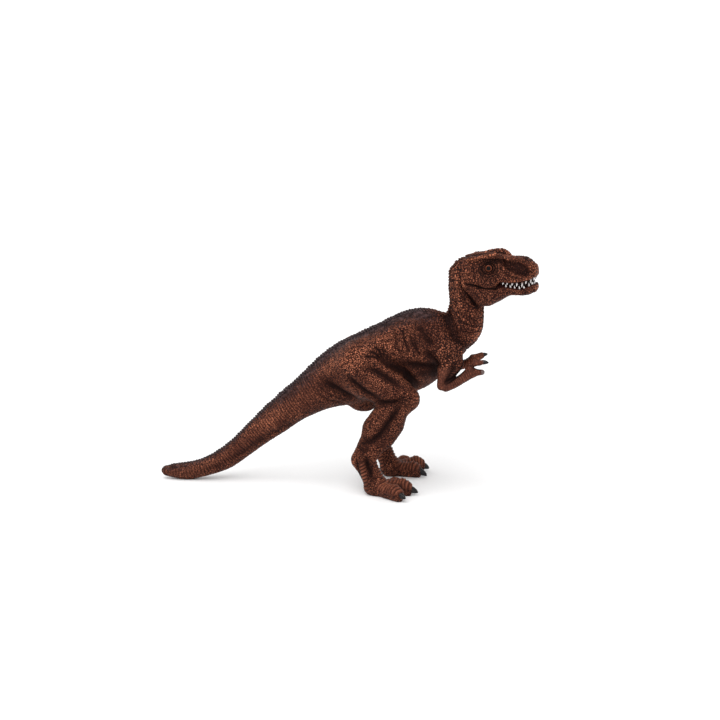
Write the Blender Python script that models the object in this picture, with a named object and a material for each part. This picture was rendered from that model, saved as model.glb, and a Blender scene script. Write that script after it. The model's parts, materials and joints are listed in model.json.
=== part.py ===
"""Toy dinosaur: a rigid, painted figure of a young two-legged meat eater.

The figure is eight solid mouldings: the torso with its neck, the head, the lower jaw, the tail,
two legs and two arms. Each of the seven smaller ones holds a keyed peg, or takes one, and is glued
in its socket, so nothing on the figure moves.

Every body form is a loft: a straight axis, with a table of sections along it. A row of a table
holds the share of the axis where the section stands, its lowest and highest point across the
axis, and its half width. Lows, highs and half widths are shares of the named sizes of that form.

+X is forward, +Y is the figure's left and +Z is up. The feet and the tail stand on z = 0, and the
origin is at the middle of the figure's box on that plane.
"""

import math
from collections import namedtuple

import bmesh
import bpy
import numpy as np
from mathutils import Matrix, Vector

MM = 0.001

# Fits and facets
SEAM_GAP = 0.3 * MM  # glue line between two mouldings
SOLE_SINK = 0.3 * MM  # how far a pad would reach below the ground before it is cut flat
OVERRUN = 2.0 * MM  # how far a peg's root runs into its own moulding, past the seam
RING_POINTS = 20
THIN_RING_POINTS = 12
CONE_POINTS = 5
DOME_RINGS = 2
LONG_STEPS = 21  # rings along the torso and the tail
HEAD_STEPS = 17
LIMB_STEPS = 10
TOE_STEPS = 13
SHORT_STEPS = 6
SHARP_ANGLE = math.radians(40)

# Legs: bone lengths from joint to joint, and their lean
THIGH_LENGTH = 17.7 * MM
THIGH_LEAN = math.radians(35)  # below the horizontal, forward
SHIN_LENGTH = 23.9 * MM
SHIN_LEAN = math.radians(37)  # from the vertical, backward
INSTEP_LENGTH = 9.6 * MM
INSTEP_LEAN = math.radians(29)  # from the vertical, forward
ANKLE_HEIGHT = 2.6 * MM
HIP_OUT = 8.2 * MM  # from the middle plane to the hip's centre
KNEE_OUT = 10.4 * MM
FOOT_OUT = 11.2 * MM
LEFT_STRIDE = 2.2 * MM  # how far the left foot stands ahead of the right one
LEFT_HIP_BACK = 2.2 * MM  # how far the left hip is behind the right one, as the body bends
LEFT_HIP_DROP = 0.8 * MM
THIGH_DEPTH = 14.8 * MM
THIGH_HALF_WIDTH = 5.6 * MM
SHIN_DEPTH = 9.8 * MM
SHIN_HALF_WIDTH = 4.0 * MM
INSTEP_DEPTH = 5.8 * MM
INSTEP_HALF_WIDTH = 2.7 * MM
PAD_LENGTH = 7.0 * MM
PAD_WIDTH = 6.2 * MM
PAD_HEIGHT = 4.6 * MM

# Toes and their claws
TOE_DEPTH = 5.1 * MM
TOE_HALF_WIDTH = 2.2 * MM
TOE_TIP = 0.9 * MM
OUTER_TOE_LENGTH = 11.2 * MM
MIDDLE_TOE_LENGTH = 10.8 * MM
INNER_TOE_LENGTH = 9.2 * MM
OUTER_TOE_TURN = math.radians(40)  # outward from straight ahead
MIDDLE_TOE_TURN = math.radians(0)
INNER_TOE_TURN = math.radians(-39)
LEFT_FOOT_TURN = math.radians(31)
CLAW_LENGTH = 2.7 * MM
CLAW_DEPTH = 2.7 * MM
CLAW_HALF_WIDTH = 1.0 * MM
CLAW_TIP = 0.25 * MM

# Torso, from the seam with the tail to the front of the chest
TORSO_LENGTH = 43.0 * MM
TORSO_DEPTH = 26.7 * MM
TORSO_HALF_WIDTH = 9.5 * MM
CHEST_DOME = 2.6 * MM
HIP_ALONG_SHARE = 0.326  # where the hip stands along the torso
PELVIS_BUMP_LENGTH = 10.5 * MM
PELVIS_BUMP_WIDTH = 6.6 * MM
PELVIS_BUMP_HEIGHT = 6.4 * MM

# Tail, from the seam with the torso to the tip
TAIL_LENGTH = 49.5 * MM
TAIL_DOME = 1.7 * MM
TAIL_SWAY = 2.7 * MM  # the tip's swing to the figure's right

# Neck, which belongs to the torso's moulding
NECK_LENGTH = 28.0 * MM
NECK_DEPTH = 11.4 * MM
NECK_HALF_WIDTH = 6.2 * MM
NECK_ROOT_DOME = 2.0 * MM
NECK_TOP_DOME = 1.6 * MM

# Head and lower jaw
SKULL_LENGTH = 21.5 * MM
SKULL_DEPTH = 9.2 * MM
SKULL_HALF_WIDTH = 6.6 * MM
SKULL_REAR_DOME = 0.7 * MM
SNOUT_DOME = 1.0 * MM
JAW_TIP_BACK = 0.1 * MM  # from the skull's front back to the jaw's
JAW_DEPTH = 7.2 * MM
JAW_HALF_WIDTH = 6.0 * MM
JAW_REAR_DOME = 0.7 * MM
HEAD_YAW = math.radians(-8)  # the head looks a little to the figure's right
BROW_LENGTH = 11.5 * MM
BROW_DEPTH = 2.2 * MM
BROW_HALF_WIDTH = 1.05 * MM
BROW_OUT = 4.7 * MM
EYE_RADIUS = 1.55 * MM
EYE_OUT = 5.0 * MM
TONGUE_TIP_BACK = 1.0 * MM  # from the jaw's front back to the tongue's
TONGUE_HALF_WIDTH = 2.3 * MM
TONGUE_DEPTH = 3.0 * MM
TOOTH_LENGTH = 1.7 * MM
TOOTH_RADIUS = 0.52 * MM
TOOTH_ROOT = 0.5 * MM  # the length of a tooth inside its jaw
TOOTH_INSET = 0.75 * MM  # from the side of the jaw to the upper row
TOOTH_ROW_STEP = 1.15 * MM  # from the upper row in to the lower row
TEETH_A_SIDE = 8

# Arms
UPPER_ARM_LENGTH = 10.6 * MM
UPPER_ARM_LEAN = math.radians(4)  # from the vertical, backward
FOREARM_LENGTH = 9.2 * MM
FOREARM_LEAN = math.radians(29)  # above the horizontal, forward
SHOULDER_OUT = 7.6 * MM
ELBOW_OUT = 9.8 * MM
WRIST_OUT = 8.8 * MM
UPPER_ARM_DEPTH = 7.0 * MM
UPPER_ARM_HALF_WIDTH = 2.3 * MM
FOREARM_DEPTH = 3.6 * MM
FOREARM_HALF_WIDTH = 1.75 * MM
FINGER_LENGTH = 3.3 * MM
FINGER_HALF_WIDTH = 0.9 * MM
UPPER_FINGER_LEAN = math.radians(33)  # above the horizontal
LOWER_FINGER_LEAN = math.radians(3)
FINGER_SPLAY = math.radians(14)  # outward, of the upper finger
FINGER_CLAW_LENGTH = 1.4 * MM
LEFT_SHOULDER_BACK = 1.2 * MM  # how far the left shoulder is behind the right one

# Keyed pegs: length past the seam, and the two sides of the section, which differ so that a peg
# goes in one way round only
HIP_PEG = (6.0 * MM, 6.0 * MM, 4.4 * MM)
SHOULDER_PEG = (3.6 * MM, 3.2 * MM, 2.2 * MM)
TAIL_PEG = (5.0 * MM, 6.0 * MM, 4.4 * MM)
NECK_PEG = (4.5 * MM, 4.0 * MM, 3.0 * MM)
JAW_PEG = (4.0 * MM, 3.2 * MM, 2.4 * MM)
PEG_EDGE = 0.4 * MM  # bevel along a peg's edges

# Tables of sections: along, low, high, half width
THIGH_SHARES = (
    (-0.22, -0.36, 0.36, 0.72),
    (0.0, -0.49, 0.48, 0.96),
    (0.3, -0.50, 0.49, 1.0),
    (0.6, -0.43, 0.42, 0.89),
    (0.85, -0.33, 0.33, 0.72),
    (1.0, -0.27, 0.26, 0.62),
)
THIGH_DOME_SHARES = (0.22, 0.26)
SHIN_SHARES = (
    (0.0, -0.40, 0.38, 0.86),
    (0.16, -0.67, 0.33, 0.95),
    (0.35, -0.77, 0.38, 1.0),
    (0.55, -0.58, 0.43, 0.86),
    (0.75, -0.34, 0.41, 0.71),
    (1.0, -0.28, 0.32, 0.63),
)
SHIN_DOME_SHARES = (0.25, 0.26)
INSTEP_SHARES = (
    (0.0, -0.50, 0.50, 0.92),
    (0.3, -0.47, 0.47, 0.85),
    (0.7, -0.47, 0.50, 0.92),
    (1.0, -0.48, 0.55, 1.05),
)
INSTEP_DOME_SHARES = (0.36, 0.36)
TOE_SHARES = (
    (0.0, -0.49, 0.48, 1.0),
    (0.22, -0.49, 0.47, 0.98),
    (0.36, -0.49, 0.41, 0.88),
    (0.5, -0.49, 0.44, 0.96),
    (0.64, -0.49, 0.38, 0.86),
    (0.8, -0.49, 0.41, 0.95),
    (1.0, -0.47, 0.24, 0.76),
)
CLAW_SHARES = (
    (-0.4, -0.36, 0.46, 0.85),
    (0.0, -0.36, 0.50, 1.0),
    (0.35, -0.42, 0.40, 0.88),
    (0.7, -0.58, 0.08, 0.6),
    (1.0, -0.82, -0.42, 0.25),
)
TORSO_SHARES = (
    (0.0, -0.625, 0.056, 0.695),
    (0.093, -0.569, 0.172, 0.80),
    (0.209, -0.528, 0.277, 0.905),
    (0.326, -0.506, 0.375, 0.968),
    (0.442, -0.476, 0.468, 0.99),
    (0.558, -0.418, 0.568, 1.0),
    (0.674, -0.358, 0.632, 1.0),
    (0.767, -0.296, 0.65, 0.968),
    (0.86, -0.221, 0.625, 0.884),
    (0.942, -0.116, 0.573, 0.758),
    (1.0, -0.004, 0.483, 0.61),
)
# The bump under the pelvis: its middle along the torso and below the hip
PELVIS_BUMP_PLACE_SHARES = (0.30, -0.49)
# Tail: along, low as a share of the seam's low, then height, half width and sway
TAIL_SHARES = (
    (0.0, 1.0, 1.0, 1.0, 0.0),
    (0.119, 0.874, 0.819, 0.85, 0.0),
    (0.222, 0.722, 0.752, 0.75, 0.0),
    (0.352, 0.535, 0.668, 0.65, 0.05),
    (0.465, 0.355, 0.582, 0.57, 0.12),
    (0.584, 0.175, 0.480, 0.49, 0.28),
    (0.687, 0.083, 0.385, 0.44, 0.45),
    (0.788, 0.022, 0.319, 0.40, 0.65),
    (0.869, -0.008, 0.297, 0.365, 0.82),
    (0.949, 0.013, 0.242, 0.31, 0.95),
    (1.0, 0.041, 0.176, 0.23, 1.0),
)
NECK_SHARES = (
    (0.0, -0.965, -0.02, 1.0),
    (0.143, -0.868, 0.245, 0.984),
    (0.286, -0.711, 0.390, 0.903),
    (0.429, -0.580, 0.425, 0.823),
    (0.571, -0.520, 0.405, 0.79),
    (0.75, -0.550, 0.36, 0.806),
    (0.893, -0.540, 0.32, 0.79),
    (1.0, -0.37, 0.263, 0.677),
)
# The neck's axis along the torso, its root above the hip, and the mouth line up the neck
NECK_ALONG_SHARE = 1.081
NECK_ROOT_SHARE = 0.161
MOUTH_LINE_SHARE = 0.786
SKULL_START_SHARE = -0.061  # of the neck's depth, from its axis
SKULL_SHARES = (
    (0.0, -0.01, 0.90, 0.92),
    (0.099, -0.02, 0.957, 1.0),
    (0.234, -0.065, 0.989, 1.0),
    (0.347, -0.15, 1.0, 0.955),
    (0.468, -0.10, 0.985, 0.864),
    (0.532, 0.065, 0.97, 0.818),
    (0.685, 0.076, 0.94, 0.712),
    (0.838, 0.185, 0.94, 0.652),
    (0.932, 0.304, 0.875, 0.576),
    (1.0, 0.40, 0.75, 0.44),
)
SKULL_OUTLINE = (0.27, 2.6)
JAW_START_SHARE = 0.0  # of the neck's depth, from its axis
JAW_SHARES = (
    (0.0, -0.30, 0.07, 0.933),
    (0.093, -0.58, 0.07, 1.0),
    (0.209, -1.0, 0.07, 1.0),
    (0.326, -0.958, 0.07, 0.933),
    (0.451, -0.778, 0.0, 0.85),
    (0.516, -0.68, -0.055, 0.817),
    (0.674, -0.455, -0.111, 0.717),
    (0.833, -0.435, -0.12, 0.65),
    (0.93, -0.40, -0.04, 0.567),
    (1.0, -0.30, 0.05, 0.43),
)
JAW_OUTLINE = (0.66, 2.6)
JAW_PEG_SHARE = 0.33
# Brow: where it starts along the skull and up it, then its sections
BROW_PLACE_SHARES = (0.1, 0.93)
BROW_SHARES = (
    (0.0, -0.60, 0.10, 0.7),
    (0.25, -0.40, 0.25, 0.95),
    (0.65, -0.20, 0.76, 1.0),
    (0.85, -0.40, 0.45, 0.9),
    (1.0, -0.60, -0.05, 0.7),
)
BROW_CLOSE_SHARE = 0.3  # how much nearer to the middle plane the brow ends
EYE_PLACE_SHARES = (0.36, 0.64)
TONGUE_SHARES = (
    (0.0, -0.6, 0.30, 0.9),
    (0.35, -0.6, 0.42, 1.0),
    (0.75, -0.6, 0.36, 0.85),
    (1.0, -0.6, 0.15, 0.5),
)
TONGUE_START_SHARE = 0.42  # along the jaw
TONGUE_RISE_SHARE = -0.167  # of the jaw's depth, from the mouth line
TOOTH_SPAN_SHARES = (0.56, 0.985)  # of the skull's length, first tooth to last
SHOULDER_SHARES = (0.953, 0.221)  # along the torso, and above the hip
UPPER_ARM_SHARES = (
    (0.0, -0.50, 0.46, 0.87),
    (0.35, -0.42, 0.41, 0.95),
    (0.7, -0.32, 0.31, 0.9),
    (1.0, -0.28, 0.27, 0.85),
)
UPPER_ARM_DOME_SHARES = (0.26, 0.24)
FOREARM_SHARES = (
    (0.0, -0.52, 0.48, 1.0),
    (0.5, -0.45, 0.45, 0.92),
    (0.85, -0.40, 0.40, 0.86),
    (1.0, -0.46, 0.46, 0.98),
)
FOREARM_DOME_SHARES = (0.40, 0.34)
FINGER_SHARES = (
    (0.0, -1.0, 1.0, 1.0),
    (0.6, -0.85, 0.85, 0.88),
    (1.0, -0.72, 0.72, 0.75),
)
FINGER_CLAW_SHARES = (
    (-0.3, -0.6, 0.6, 0.6),
    (0.0, -0.6, 0.6, 0.6),
    (0.5, -0.55, 0.3, 0.4),
    (1.0, -0.5, -0.15, 0.15),
)

# Colours, as the figure is painted
HIDE_BROWN = (0.105, 0.036, 0.020, 1.0)
JAW_BROWN = (0.120, 0.042, 0.024, 1.0)
TAIL_BROWN = (0.095, 0.033, 0.019, 1.0)
ARM_BROWN = (0.130, 0.050, 0.030, 1.0)
TOOTH_WHITE = (0.80, 0.78, 0.72, 1.0)
CLAW_BLACK = (0.006, 0.006, 0.007, 1.0)
EYE_AMBER = (0.55, 0.13, 0.02, 1.0)
HIDE_ROUGHNESS = 0.55
GLOSS_ROUGHNESS = 0.2

# Sections: where they are widest, as a share of their height, and how square they are. A power of
# 2 is an ellipse, and a larger one comes nearer to a box.
ROUND = (0.5, 2.15)

Form = namedtuple("Form", "start end across rows domes outline")

ACROSS = Vector((0, 1, 0))
UP = Vector((0, 0, 1))
FORWARD = Vector((1, 0, 0))


def form(start, end, shares, depth, half_width, domes, across=ACROSS, outline=ROUND):
    """A loft's axis with its table turned into real sizes."""
    rows = [(t, low * depth, high * depth, wide * half_width, 0) for t, low, high, wide in shares]
    return Form(start, end, across, np.array(rows), domes, outline)


def between(rows, at):
    """Rows of a table at the given shares, on a smooth curve that never overshoots its points."""
    along, values = rows[:, 0], rows[:, 1:]
    step = np.diff(along)
    slope = np.diff(values, axis=0) / step[:, None]
    before, after = slope[:-1], slope[1:]
    total = np.where(before * after > 0, before + after, 1)
    tangent = np.vstack([slope[:1], np.where(before * after > 0, 2 * before * after / total, 0), slope[-1:]])
    k = np.clip(np.searchsorted(along, at) - 1, 0, len(step) - 1)
    u, h = ((at - along[k]) / step[k])[:, None], step[k][:, None]
    near, far = (1 + 2 * u) * (1 - u) ** 2, u**2 * (3 - 2 * u)
    lean_near, lean_far = u * (1 - u) ** 2 * h, u**2 * (u - 1) * h
    return near * values[k] + far * values[k + 1] + lean_near * tangent[k] + lean_far * tangent[k + 1]


def section(low, high, half_width, outline, count):
    """Points of one section: two half ovals that meet at the waist, where it is widest."""
    waist, power = outline
    angle = 2 * math.pi * np.arange(count) / count
    middle = low + waist * (high - low)
    run, rise = np.cos(angle), np.sin(angle)
    side = half_width * np.sign(run) * np.abs(run) ** (2 / power)
    height = np.where(rise > 0, high - middle, middle - low) * np.sign(rise) * np.abs(rise) ** (2 / power)
    return side, middle + height


def edge_height(row, outline, out, sign):
    """Height of a section's top (sign 1) or underside (sign -1), this far out from its middle."""
    low, high, half_width = row
    waist, power = outline
    middle = low + waist * (high - low)
    reach = high - middle if sign > 0 else middle - low
    return middle + sign * reach * (1 - (abs(out) / half_width) ** power) ** (1 / power)


def rings(shape, steps, count, grow):
    """The loft's rings as point arrays, and the pole at each end, or None at a flat end."""
    axis = shape.end - shape.start
    along = np.array(axis.normalized())
    up = np.array(axis.normalized().cross(shape.across))
    across, start, axis = np.array(shape.across), np.array(shape.start), np.array(axis)

    def centre(share, row, shift):
        low, high, _, sway = row
        return start + axis * share + along * shift + across * sway + up * (low + high) / 2

    def ring(share, row, shrink, shift):
        half = (row[1] - row[0]) / 2 + grow
        side, height = section(-half, half, row[2] + grow, shape.outline, count)
        return centre(share, row, shift) + shrink * (np.outer(side, across) + np.outer(height, up))

    at = np.linspace(shape.rows[0, 0], shape.rows[-1, 0], steps)
    table = between(shape.rows, at)
    found = [ring(share, row, 1, 0) for share, row in zip(at, table)]
    poles = [None, None]
    arc = np.linspace(0, math.pi / 2, DOME_RINGS + 2)[1:-1]
    for end, sign in ((0, -1), (1, 1)):
        if shape.domes[end] == 0:
            continue
        dome = sign * (shape.domes[end] + grow)
        caps = [ring(at[-end], table[-end], math.cos(a), dome * math.sin(a)) for a in arc]
        found = found + caps if end else caps[::-1] + found
        poles[end] = centre(at[-end], table[-end], dome)
    return found, poles


def mesh_object(name, points, faces, origin):
    """An object with its origin at the joint where its moulding is plugged in."""
    mesh = bpy.data.meshes.new(name)
    mesh.from_pydata([Vector(p) - origin for p in points], [], faces)
    work = bmesh.new()
    work.from_mesh(mesh)
    bmesh.ops.recalc_face_normals(work, faces=work.faces)
    work.to_mesh(mesh)
    work.free()
    mesh.shade_smooth()
    mesh.set_sharp_from_angle(angle=SHARP_ANGLE)
    made = bpy.data.objects.new(name, mesh)
    made.location = origin
    made.parent = figure
    bpy.context.scene.collection.objects.link(made)
    return made


def loft(name, shape, steps, origin, count=RING_POINTS, grow=0.0):
    """A closed skin over a form's rings, with a pole or a flat cap at each end."""
    found, poles = rings(shape, steps, count, grow)
    points = np.vstack(found).tolist()
    faces = []
    for r in range(len(found) - 1):
        for i in range(count):
            j = (i + 1) % count
            faces.append((r * count + i, r * count + j, (r + 1) * count + j, (r + 1) * count + i))
    for pole, r in zip(poles, (0, len(found) - 1)):
        edge = [r * count + i for i in range(count)]
        if pole is None:
            faces.append(tuple(edge if r == 0 else reversed(edge)))
            continue
        points.append(pole.tolist())
        faces += [(len(points) - 1, edge[i], edge[(i + 1) % count]) for i in range(count)]
    return mesh_object(name, points, faces, origin)


def ball(name, centre, half_sizes, origin):
    """An ellipsoid made of the same rings as the lofts."""
    reach = FORWARD * half_sizes[0]
    arcs = np.linspace(0, math.pi, 2 * DOME_RINGS + 3)
    up, side = np.array(UP), np.array(ACROSS)
    points, faces, count = [], [], THIN_RING_POINTS
    across, height = section(-half_sizes[2], half_sizes[2], half_sizes[1], (0.5, 2), count)
    for a in arcs[1:-1]:
        middle = np.array(centre - reach * math.cos(a))
        points += (middle + math.sin(a) * (np.outer(across, side) + np.outer(height, up))).tolist()
    for r in range(len(arcs) - 3):
        for i in range(count):
            j = (i + 1) % count
            faces.append((r * count + i, r * count + j, (r + 1) * count + j, (r + 1) * count + i))
    for end, r in ((centre - reach, 0), (centre + reach, len(arcs) - 3)):
        points.append(list(end))
        faces += [(len(points) - 1, r * count + i, r * count + (i + 1) % count) for i in range(count)]
    return mesh_object(name, points, faces, origin)


def peg(name, seat, direction, upright, size, origin, grow=0.0):
    """A bevelled key from OVERRUN before its seat to its length past it. Its wide side is upright."""
    length, tall, wide = size
    side = direction.cross(upright).normalized()
    work = bmesh.new()
    bmesh.ops.create_cube(work, size=1.0)
    reach = OVERRUN + length + grow
    middle = seat + direction * (reach / 2 - OVERRUN)
    turn = Matrix((direction, side, upright)).transposed().to_4x4()
    stretch = Matrix.Diagonal((reach, wide + 2 * grow, tall + 2 * grow, 1))
    bmesh.ops.transform(work, matrix=stretch, verts=work.verts)
    long_edges = [e for e in work.edges if abs(e.verts[0].co.x - e.verts[1].co.x) > reach / 2]
    bmesh.ops.bevel(work, geom=long_edges, offset=PEG_EDGE, segments=1, affect="EDGES")
    bmesh.ops.transform(work, matrix=Matrix.Translation(middle) @ turn, verts=work.verts)
    points = [v.co.copy() for v in work.verts]
    work.verts.index_update()
    faces = [tuple(v.index for v in f.verts) for f in work.faces]
    work.free()
    return mesh_object(name, points, faces, origin)


def cones(name, places, origin):
    """Teeth as one object: (root, direction, length, radius) for each."""
    points, faces = [], []
    for root, direction, length, radius in places:
        side = direction.cross(FORWARD).normalized()
        other = direction.cross(side)
        base = len(points)
        for i in range(CONE_POINTS):
            angle = 2 * math.pi * i / CONE_POINTS
            points.append(root + radius * (side * math.cos(angle) + other * math.sin(angle)))
        points.append(root + direction * length)
        ring = range(base, base + CONE_POINTS)
        faces.append(tuple(ring))
        faces += [(base + i, base + (i + 1) % CONE_POINTS, base + CONE_POINTS) for i in range(CONE_POINTS)]
    return mesh_object(name, points, faces, origin)


def paint(target, *colours):
    """Gives an object its materials. The first is the moulding's own, the others are painted areas."""
    for label, colour, roughness in colours:
        material = bpy.data.materials.get(label) or bpy.data.materials.new(label)
        material.use_nodes = True
        shader = material.node_tree.nodes["Principled BSDF"]
        shader.inputs["Base Color"].default_value = colour
        shader.inputs["Roughness"].default_value = roughness
        material.diffuse_color = colour
        target.data.materials.append(material)


def boolean(target, tool, operation):
    """Adds or takes away a tool, which is hidden from the finished model."""
    modifier = target.modifiers.new(f"{operation.lower()}_{tool.name}", "BOOLEAN")
    modifier.operation = operation
    modifier.object = tool
    modifier.solver = "EXACT"
    modifier.material_mode = "TRANSFER"
    tool.hide_render = True
    tool.display_type = "WIRE"


def join(target, *tools):
    for tool in tools:
        boolean(target, tool, "UNION")


def cut(target, *tools):
    for tool in tools:
        boolean(target, tool, "DIFFERENCE")


def leg_joints(side, stride, hip_back, hip_drop):
    """Hip, knee, hock and ankle. The right leg's bones set the hip's height, and the knee then bends to fit."""
    shin_fall = math.cos(SHIN_LEAN) * SHIN_LENGTH
    instep = Vector((math.sin(INSTEP_LEAN), 0, -math.cos(INSTEP_LEAN))) * INSTEP_LENGTH
    hip_height = ANKLE_HEIGHT - instep.z + shin_fall + math.sin(THIGH_LEAN) * THIGH_LENGTH
    hock_x = math.cos(THIGH_LEAN) * THIGH_LENGTH - math.sin(SHIN_LEAN) * SHIN_LENGTH + stride
    hip = Vector((-hip_back, side * HIP_OUT, hip_height - hip_drop))
    hock = Vector((hock_x, side * FOOT_OUT, ANKLE_HEIGHT - instep.z))
    reach = Vector((hock.x - hip.x, 0, hock.z - hip.z))
    share = (THIGH_LENGTH**2 + reach.length_squared - SHIN_LENGTH**2) / (2 * THIGH_LENGTH * reach.length)
    bend = math.acos(share)
    thigh = Matrix.Rotation(-bend, 3, "Y") @ reach.normalized() * THIGH_LENGTH
    knee = hip + thigh + Vector((0, side * (KNEE_OUT - HIP_OUT), 0))
    return hip, knee, hock, hock + instep


def square_across(start, end):
    """The sideways direction that is square to an axis that leans a little outward."""
    axis = (end - start).normalized()
    return (ACROSS - axis * ACROSS.dot(axis)).normalized()


def toe(label, side, foot, length, toe_turn, origin):
    """A toe with its knuckles, and the claw at its end."""
    heading = Vector((math.cos(toe_turn), side * math.sin(toe_turn), 0))
    across = UP.cross(heading)
    start = Vector((foot.x, foot.y, TOE_DEPTH / 2 - SOLE_SINK))
    end = start + heading * length
    shape = form(start, end, TOE_SHARES, TOE_DEPTH, TOE_HALF_WIDTH, (TOE_TIP, TOE_TIP), across)
    made = loft(label, shape, TOE_STEPS, origin, THIN_RING_POINTS)
    sole = TOE_DEPTH * TOE_SHARES[-1][1]
    root = end + UP * (sole + CLAW_DEPTH)
    tip = root + heading * CLAW_LENGTH
    claw_form = form(root, tip, CLAW_SHARES, CLAW_DEPTH, CLAW_HALF_WIDTH, (CLAW_TIP, CLAW_TIP), across)
    claw = loft(label + "_claw", claw_form, SHORT_STEPS, origin, THIN_RING_POINTS)
    paint(claw, CLAW_FINISH)
    return made, claw


def leg(name, side, stride, hip_back, hip_drop, foot_turn):
    """Thigh, shin, instep, pad and three toes as one moulding, with the peg into the pelvis."""
    hip, knee, hock, ankle = leg_joints(side, stride, hip_back, hip_drop)
    thigh_domes = [share * THIGH_DEPTH for share in THIGH_DOME_SHARES]
    shin_domes = [share * SHIN_DEPTH for share in SHIN_DOME_SHARES]
    instep_domes = [share * INSTEP_DEPTH for share in INSTEP_DOME_SHARES]
    thigh_form = form(
        hip, knee, THIGH_SHARES, THIGH_DEPTH, THIGH_HALF_WIDTH, thigh_domes, square_across(hip, knee)
    )
    shin_form = form(
        knee, hock, SHIN_SHARES, SHIN_DEPTH, SHIN_HALF_WIDTH, shin_domes, square_across(knee, hock)
    )
    instep_form = form(hock, ankle, INSTEP_SHARES, INSTEP_DEPTH, INSTEP_HALF_WIDTH, instep_domes)
    made = loft(name, thigh_form, LIMB_STEPS, hip)
    paint(made, HIDE_FINISH)
    shin = loft(name + "_shin", shin_form, LIMB_STEPS, hip)
    instep = loft(name + "_instep", instep_form, SHORT_STEPS, hip, THIN_RING_POINTS)
    pad_centre = Vector((ankle.x, ankle.y, PAD_HEIGHT / 2 - SOLE_SINK))
    pad = ball(name + "_pad", pad_centre, (PAD_LENGTH / 2, PAD_WIDTH / 2, PAD_HEIGHT / 2), hip)
    join(made, shin, instep, pad)
    for label, length, toe_turn in (
        ("_outer_toe", OUTER_TOE_LENGTH, OUTER_TOE_TURN),
        ("_middle_toe", MIDDLE_TOE_LENGTH, MIDDLE_TOE_TURN),
        ("_inner_toe", INNER_TOE_LENGTH, INNER_TOE_TURN),
    ):
        join(made, *toe(name + label, side, ankle, length, toe_turn + foot_turn, hip))
    return made, hip


def arm(name, side, shoulder):
    """Upper arm, forearm and two clawed fingers as one moulding."""
    elbow = shoulder + Vector(
        (-math.sin(UPPER_ARM_LEAN) * UPPER_ARM_LENGTH, side * (ELBOW_OUT - SHOULDER_OUT),
         -math.cos(UPPER_ARM_LEAN) * UPPER_ARM_LENGTH)
    )
    wrist = elbow + Vector(
        (math.cos(FOREARM_LEAN) * FOREARM_LENGTH, side * (WRIST_OUT - ELBOW_OUT),
         math.sin(FOREARM_LEAN) * FOREARM_LENGTH)
    )
    upper_domes = [share * UPPER_ARM_DEPTH for share in UPPER_ARM_DOME_SHARES]
    fore_domes = [share * FOREARM_DEPTH for share in FOREARM_DOME_SHARES]
    upper_form = form(
        shoulder, elbow, UPPER_ARM_SHARES, UPPER_ARM_DEPTH, UPPER_ARM_HALF_WIDTH, upper_domes,
        square_across(shoulder, elbow),
    )
    fore_form = form(
        elbow, wrist, FOREARM_SHARES, FOREARM_DEPTH, FOREARM_HALF_WIDTH, fore_domes,
        square_across(elbow, wrist),
    )
    made = loft(name, upper_form, SHORT_STEPS, shoulder)
    paint(made, ARM_FINISH)
    join(made, loft(name + "_forearm", fore_form, SHORT_STEPS, shoulder, THIN_RING_POINTS))
    for label, lean, splay, rise in (
        ("_upper_finger", UPPER_FINGER_LEAN, FINGER_SPLAY, FINGER_HALF_WIDTH / 2),
        ("_lower_finger", LOWER_FINGER_LEAN, 0, -FINGER_HALF_WIDTH / 2),
    ):
        heading = Vector((math.cos(lean), side * math.sin(splay), math.sin(lean))).normalized()
        root = wrist + Vector((0, 0, rise))
        tip = root + heading * FINGER_LENGTH
        across = square_across(root, tip)
        finger_form = form(
            root, tip, FINGER_SHARES, FINGER_HALF_WIDTH, FINGER_HALF_WIDTH,
            (FINGER_HALF_WIDTH, FINGER_HALF_WIDTH), across,
        )
        claw_form = form(
            tip, tip + heading * FINGER_CLAW_LENGTH, FINGER_CLAW_SHARES, FINGER_HALF_WIDTH, FINGER_HALF_WIDTH,
            (CLAW_TIP, CLAW_TIP), across,
        )
        finger = loft(name + label, finger_form, SHORT_STEPS, shoulder, THIN_RING_POINTS)
        claw = loft(name + label + "_claw", claw_form, SHORT_STEPS, shoulder, THIN_RING_POINTS)
        paint(claw, CLAW_FINISH)
        join(made, finger, claw)
    return made


def head_point(x, y, z):
    """A point of the head's own frame, with the neck's axis at x = 0 and the mouth line at z = 0."""
    return mouth_line + head_forward * x + head_across * y + UP * z


def skull_row(at):
    """Low, high and half width of the skull at a share of its length."""
    return between(skull_form.rows, np.array([at]))[0][:3]


def jaw_row(at):
    return between(jaw_form.rows, np.array([at]))[0][:3]


def lips(at):
    """Half width of the skull at a share of its length, and heights of both lips a tooth inset inside it."""
    skull = skull_row(at)
    jaw = jaw_row((skull_start + at * SKULL_LENGTH - jaw_start) / jaw_length)
    out = min(skull[2], jaw[2]) - TOOTH_INSET
    upper = edge_height(skull, SKULL_OUTLINE, out, -1)
    inner = out - TOOTH_ROW_STEP
    return out, upper, inner, edge_height(jaw, JAW_OUTLINE, inner, 1)


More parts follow.
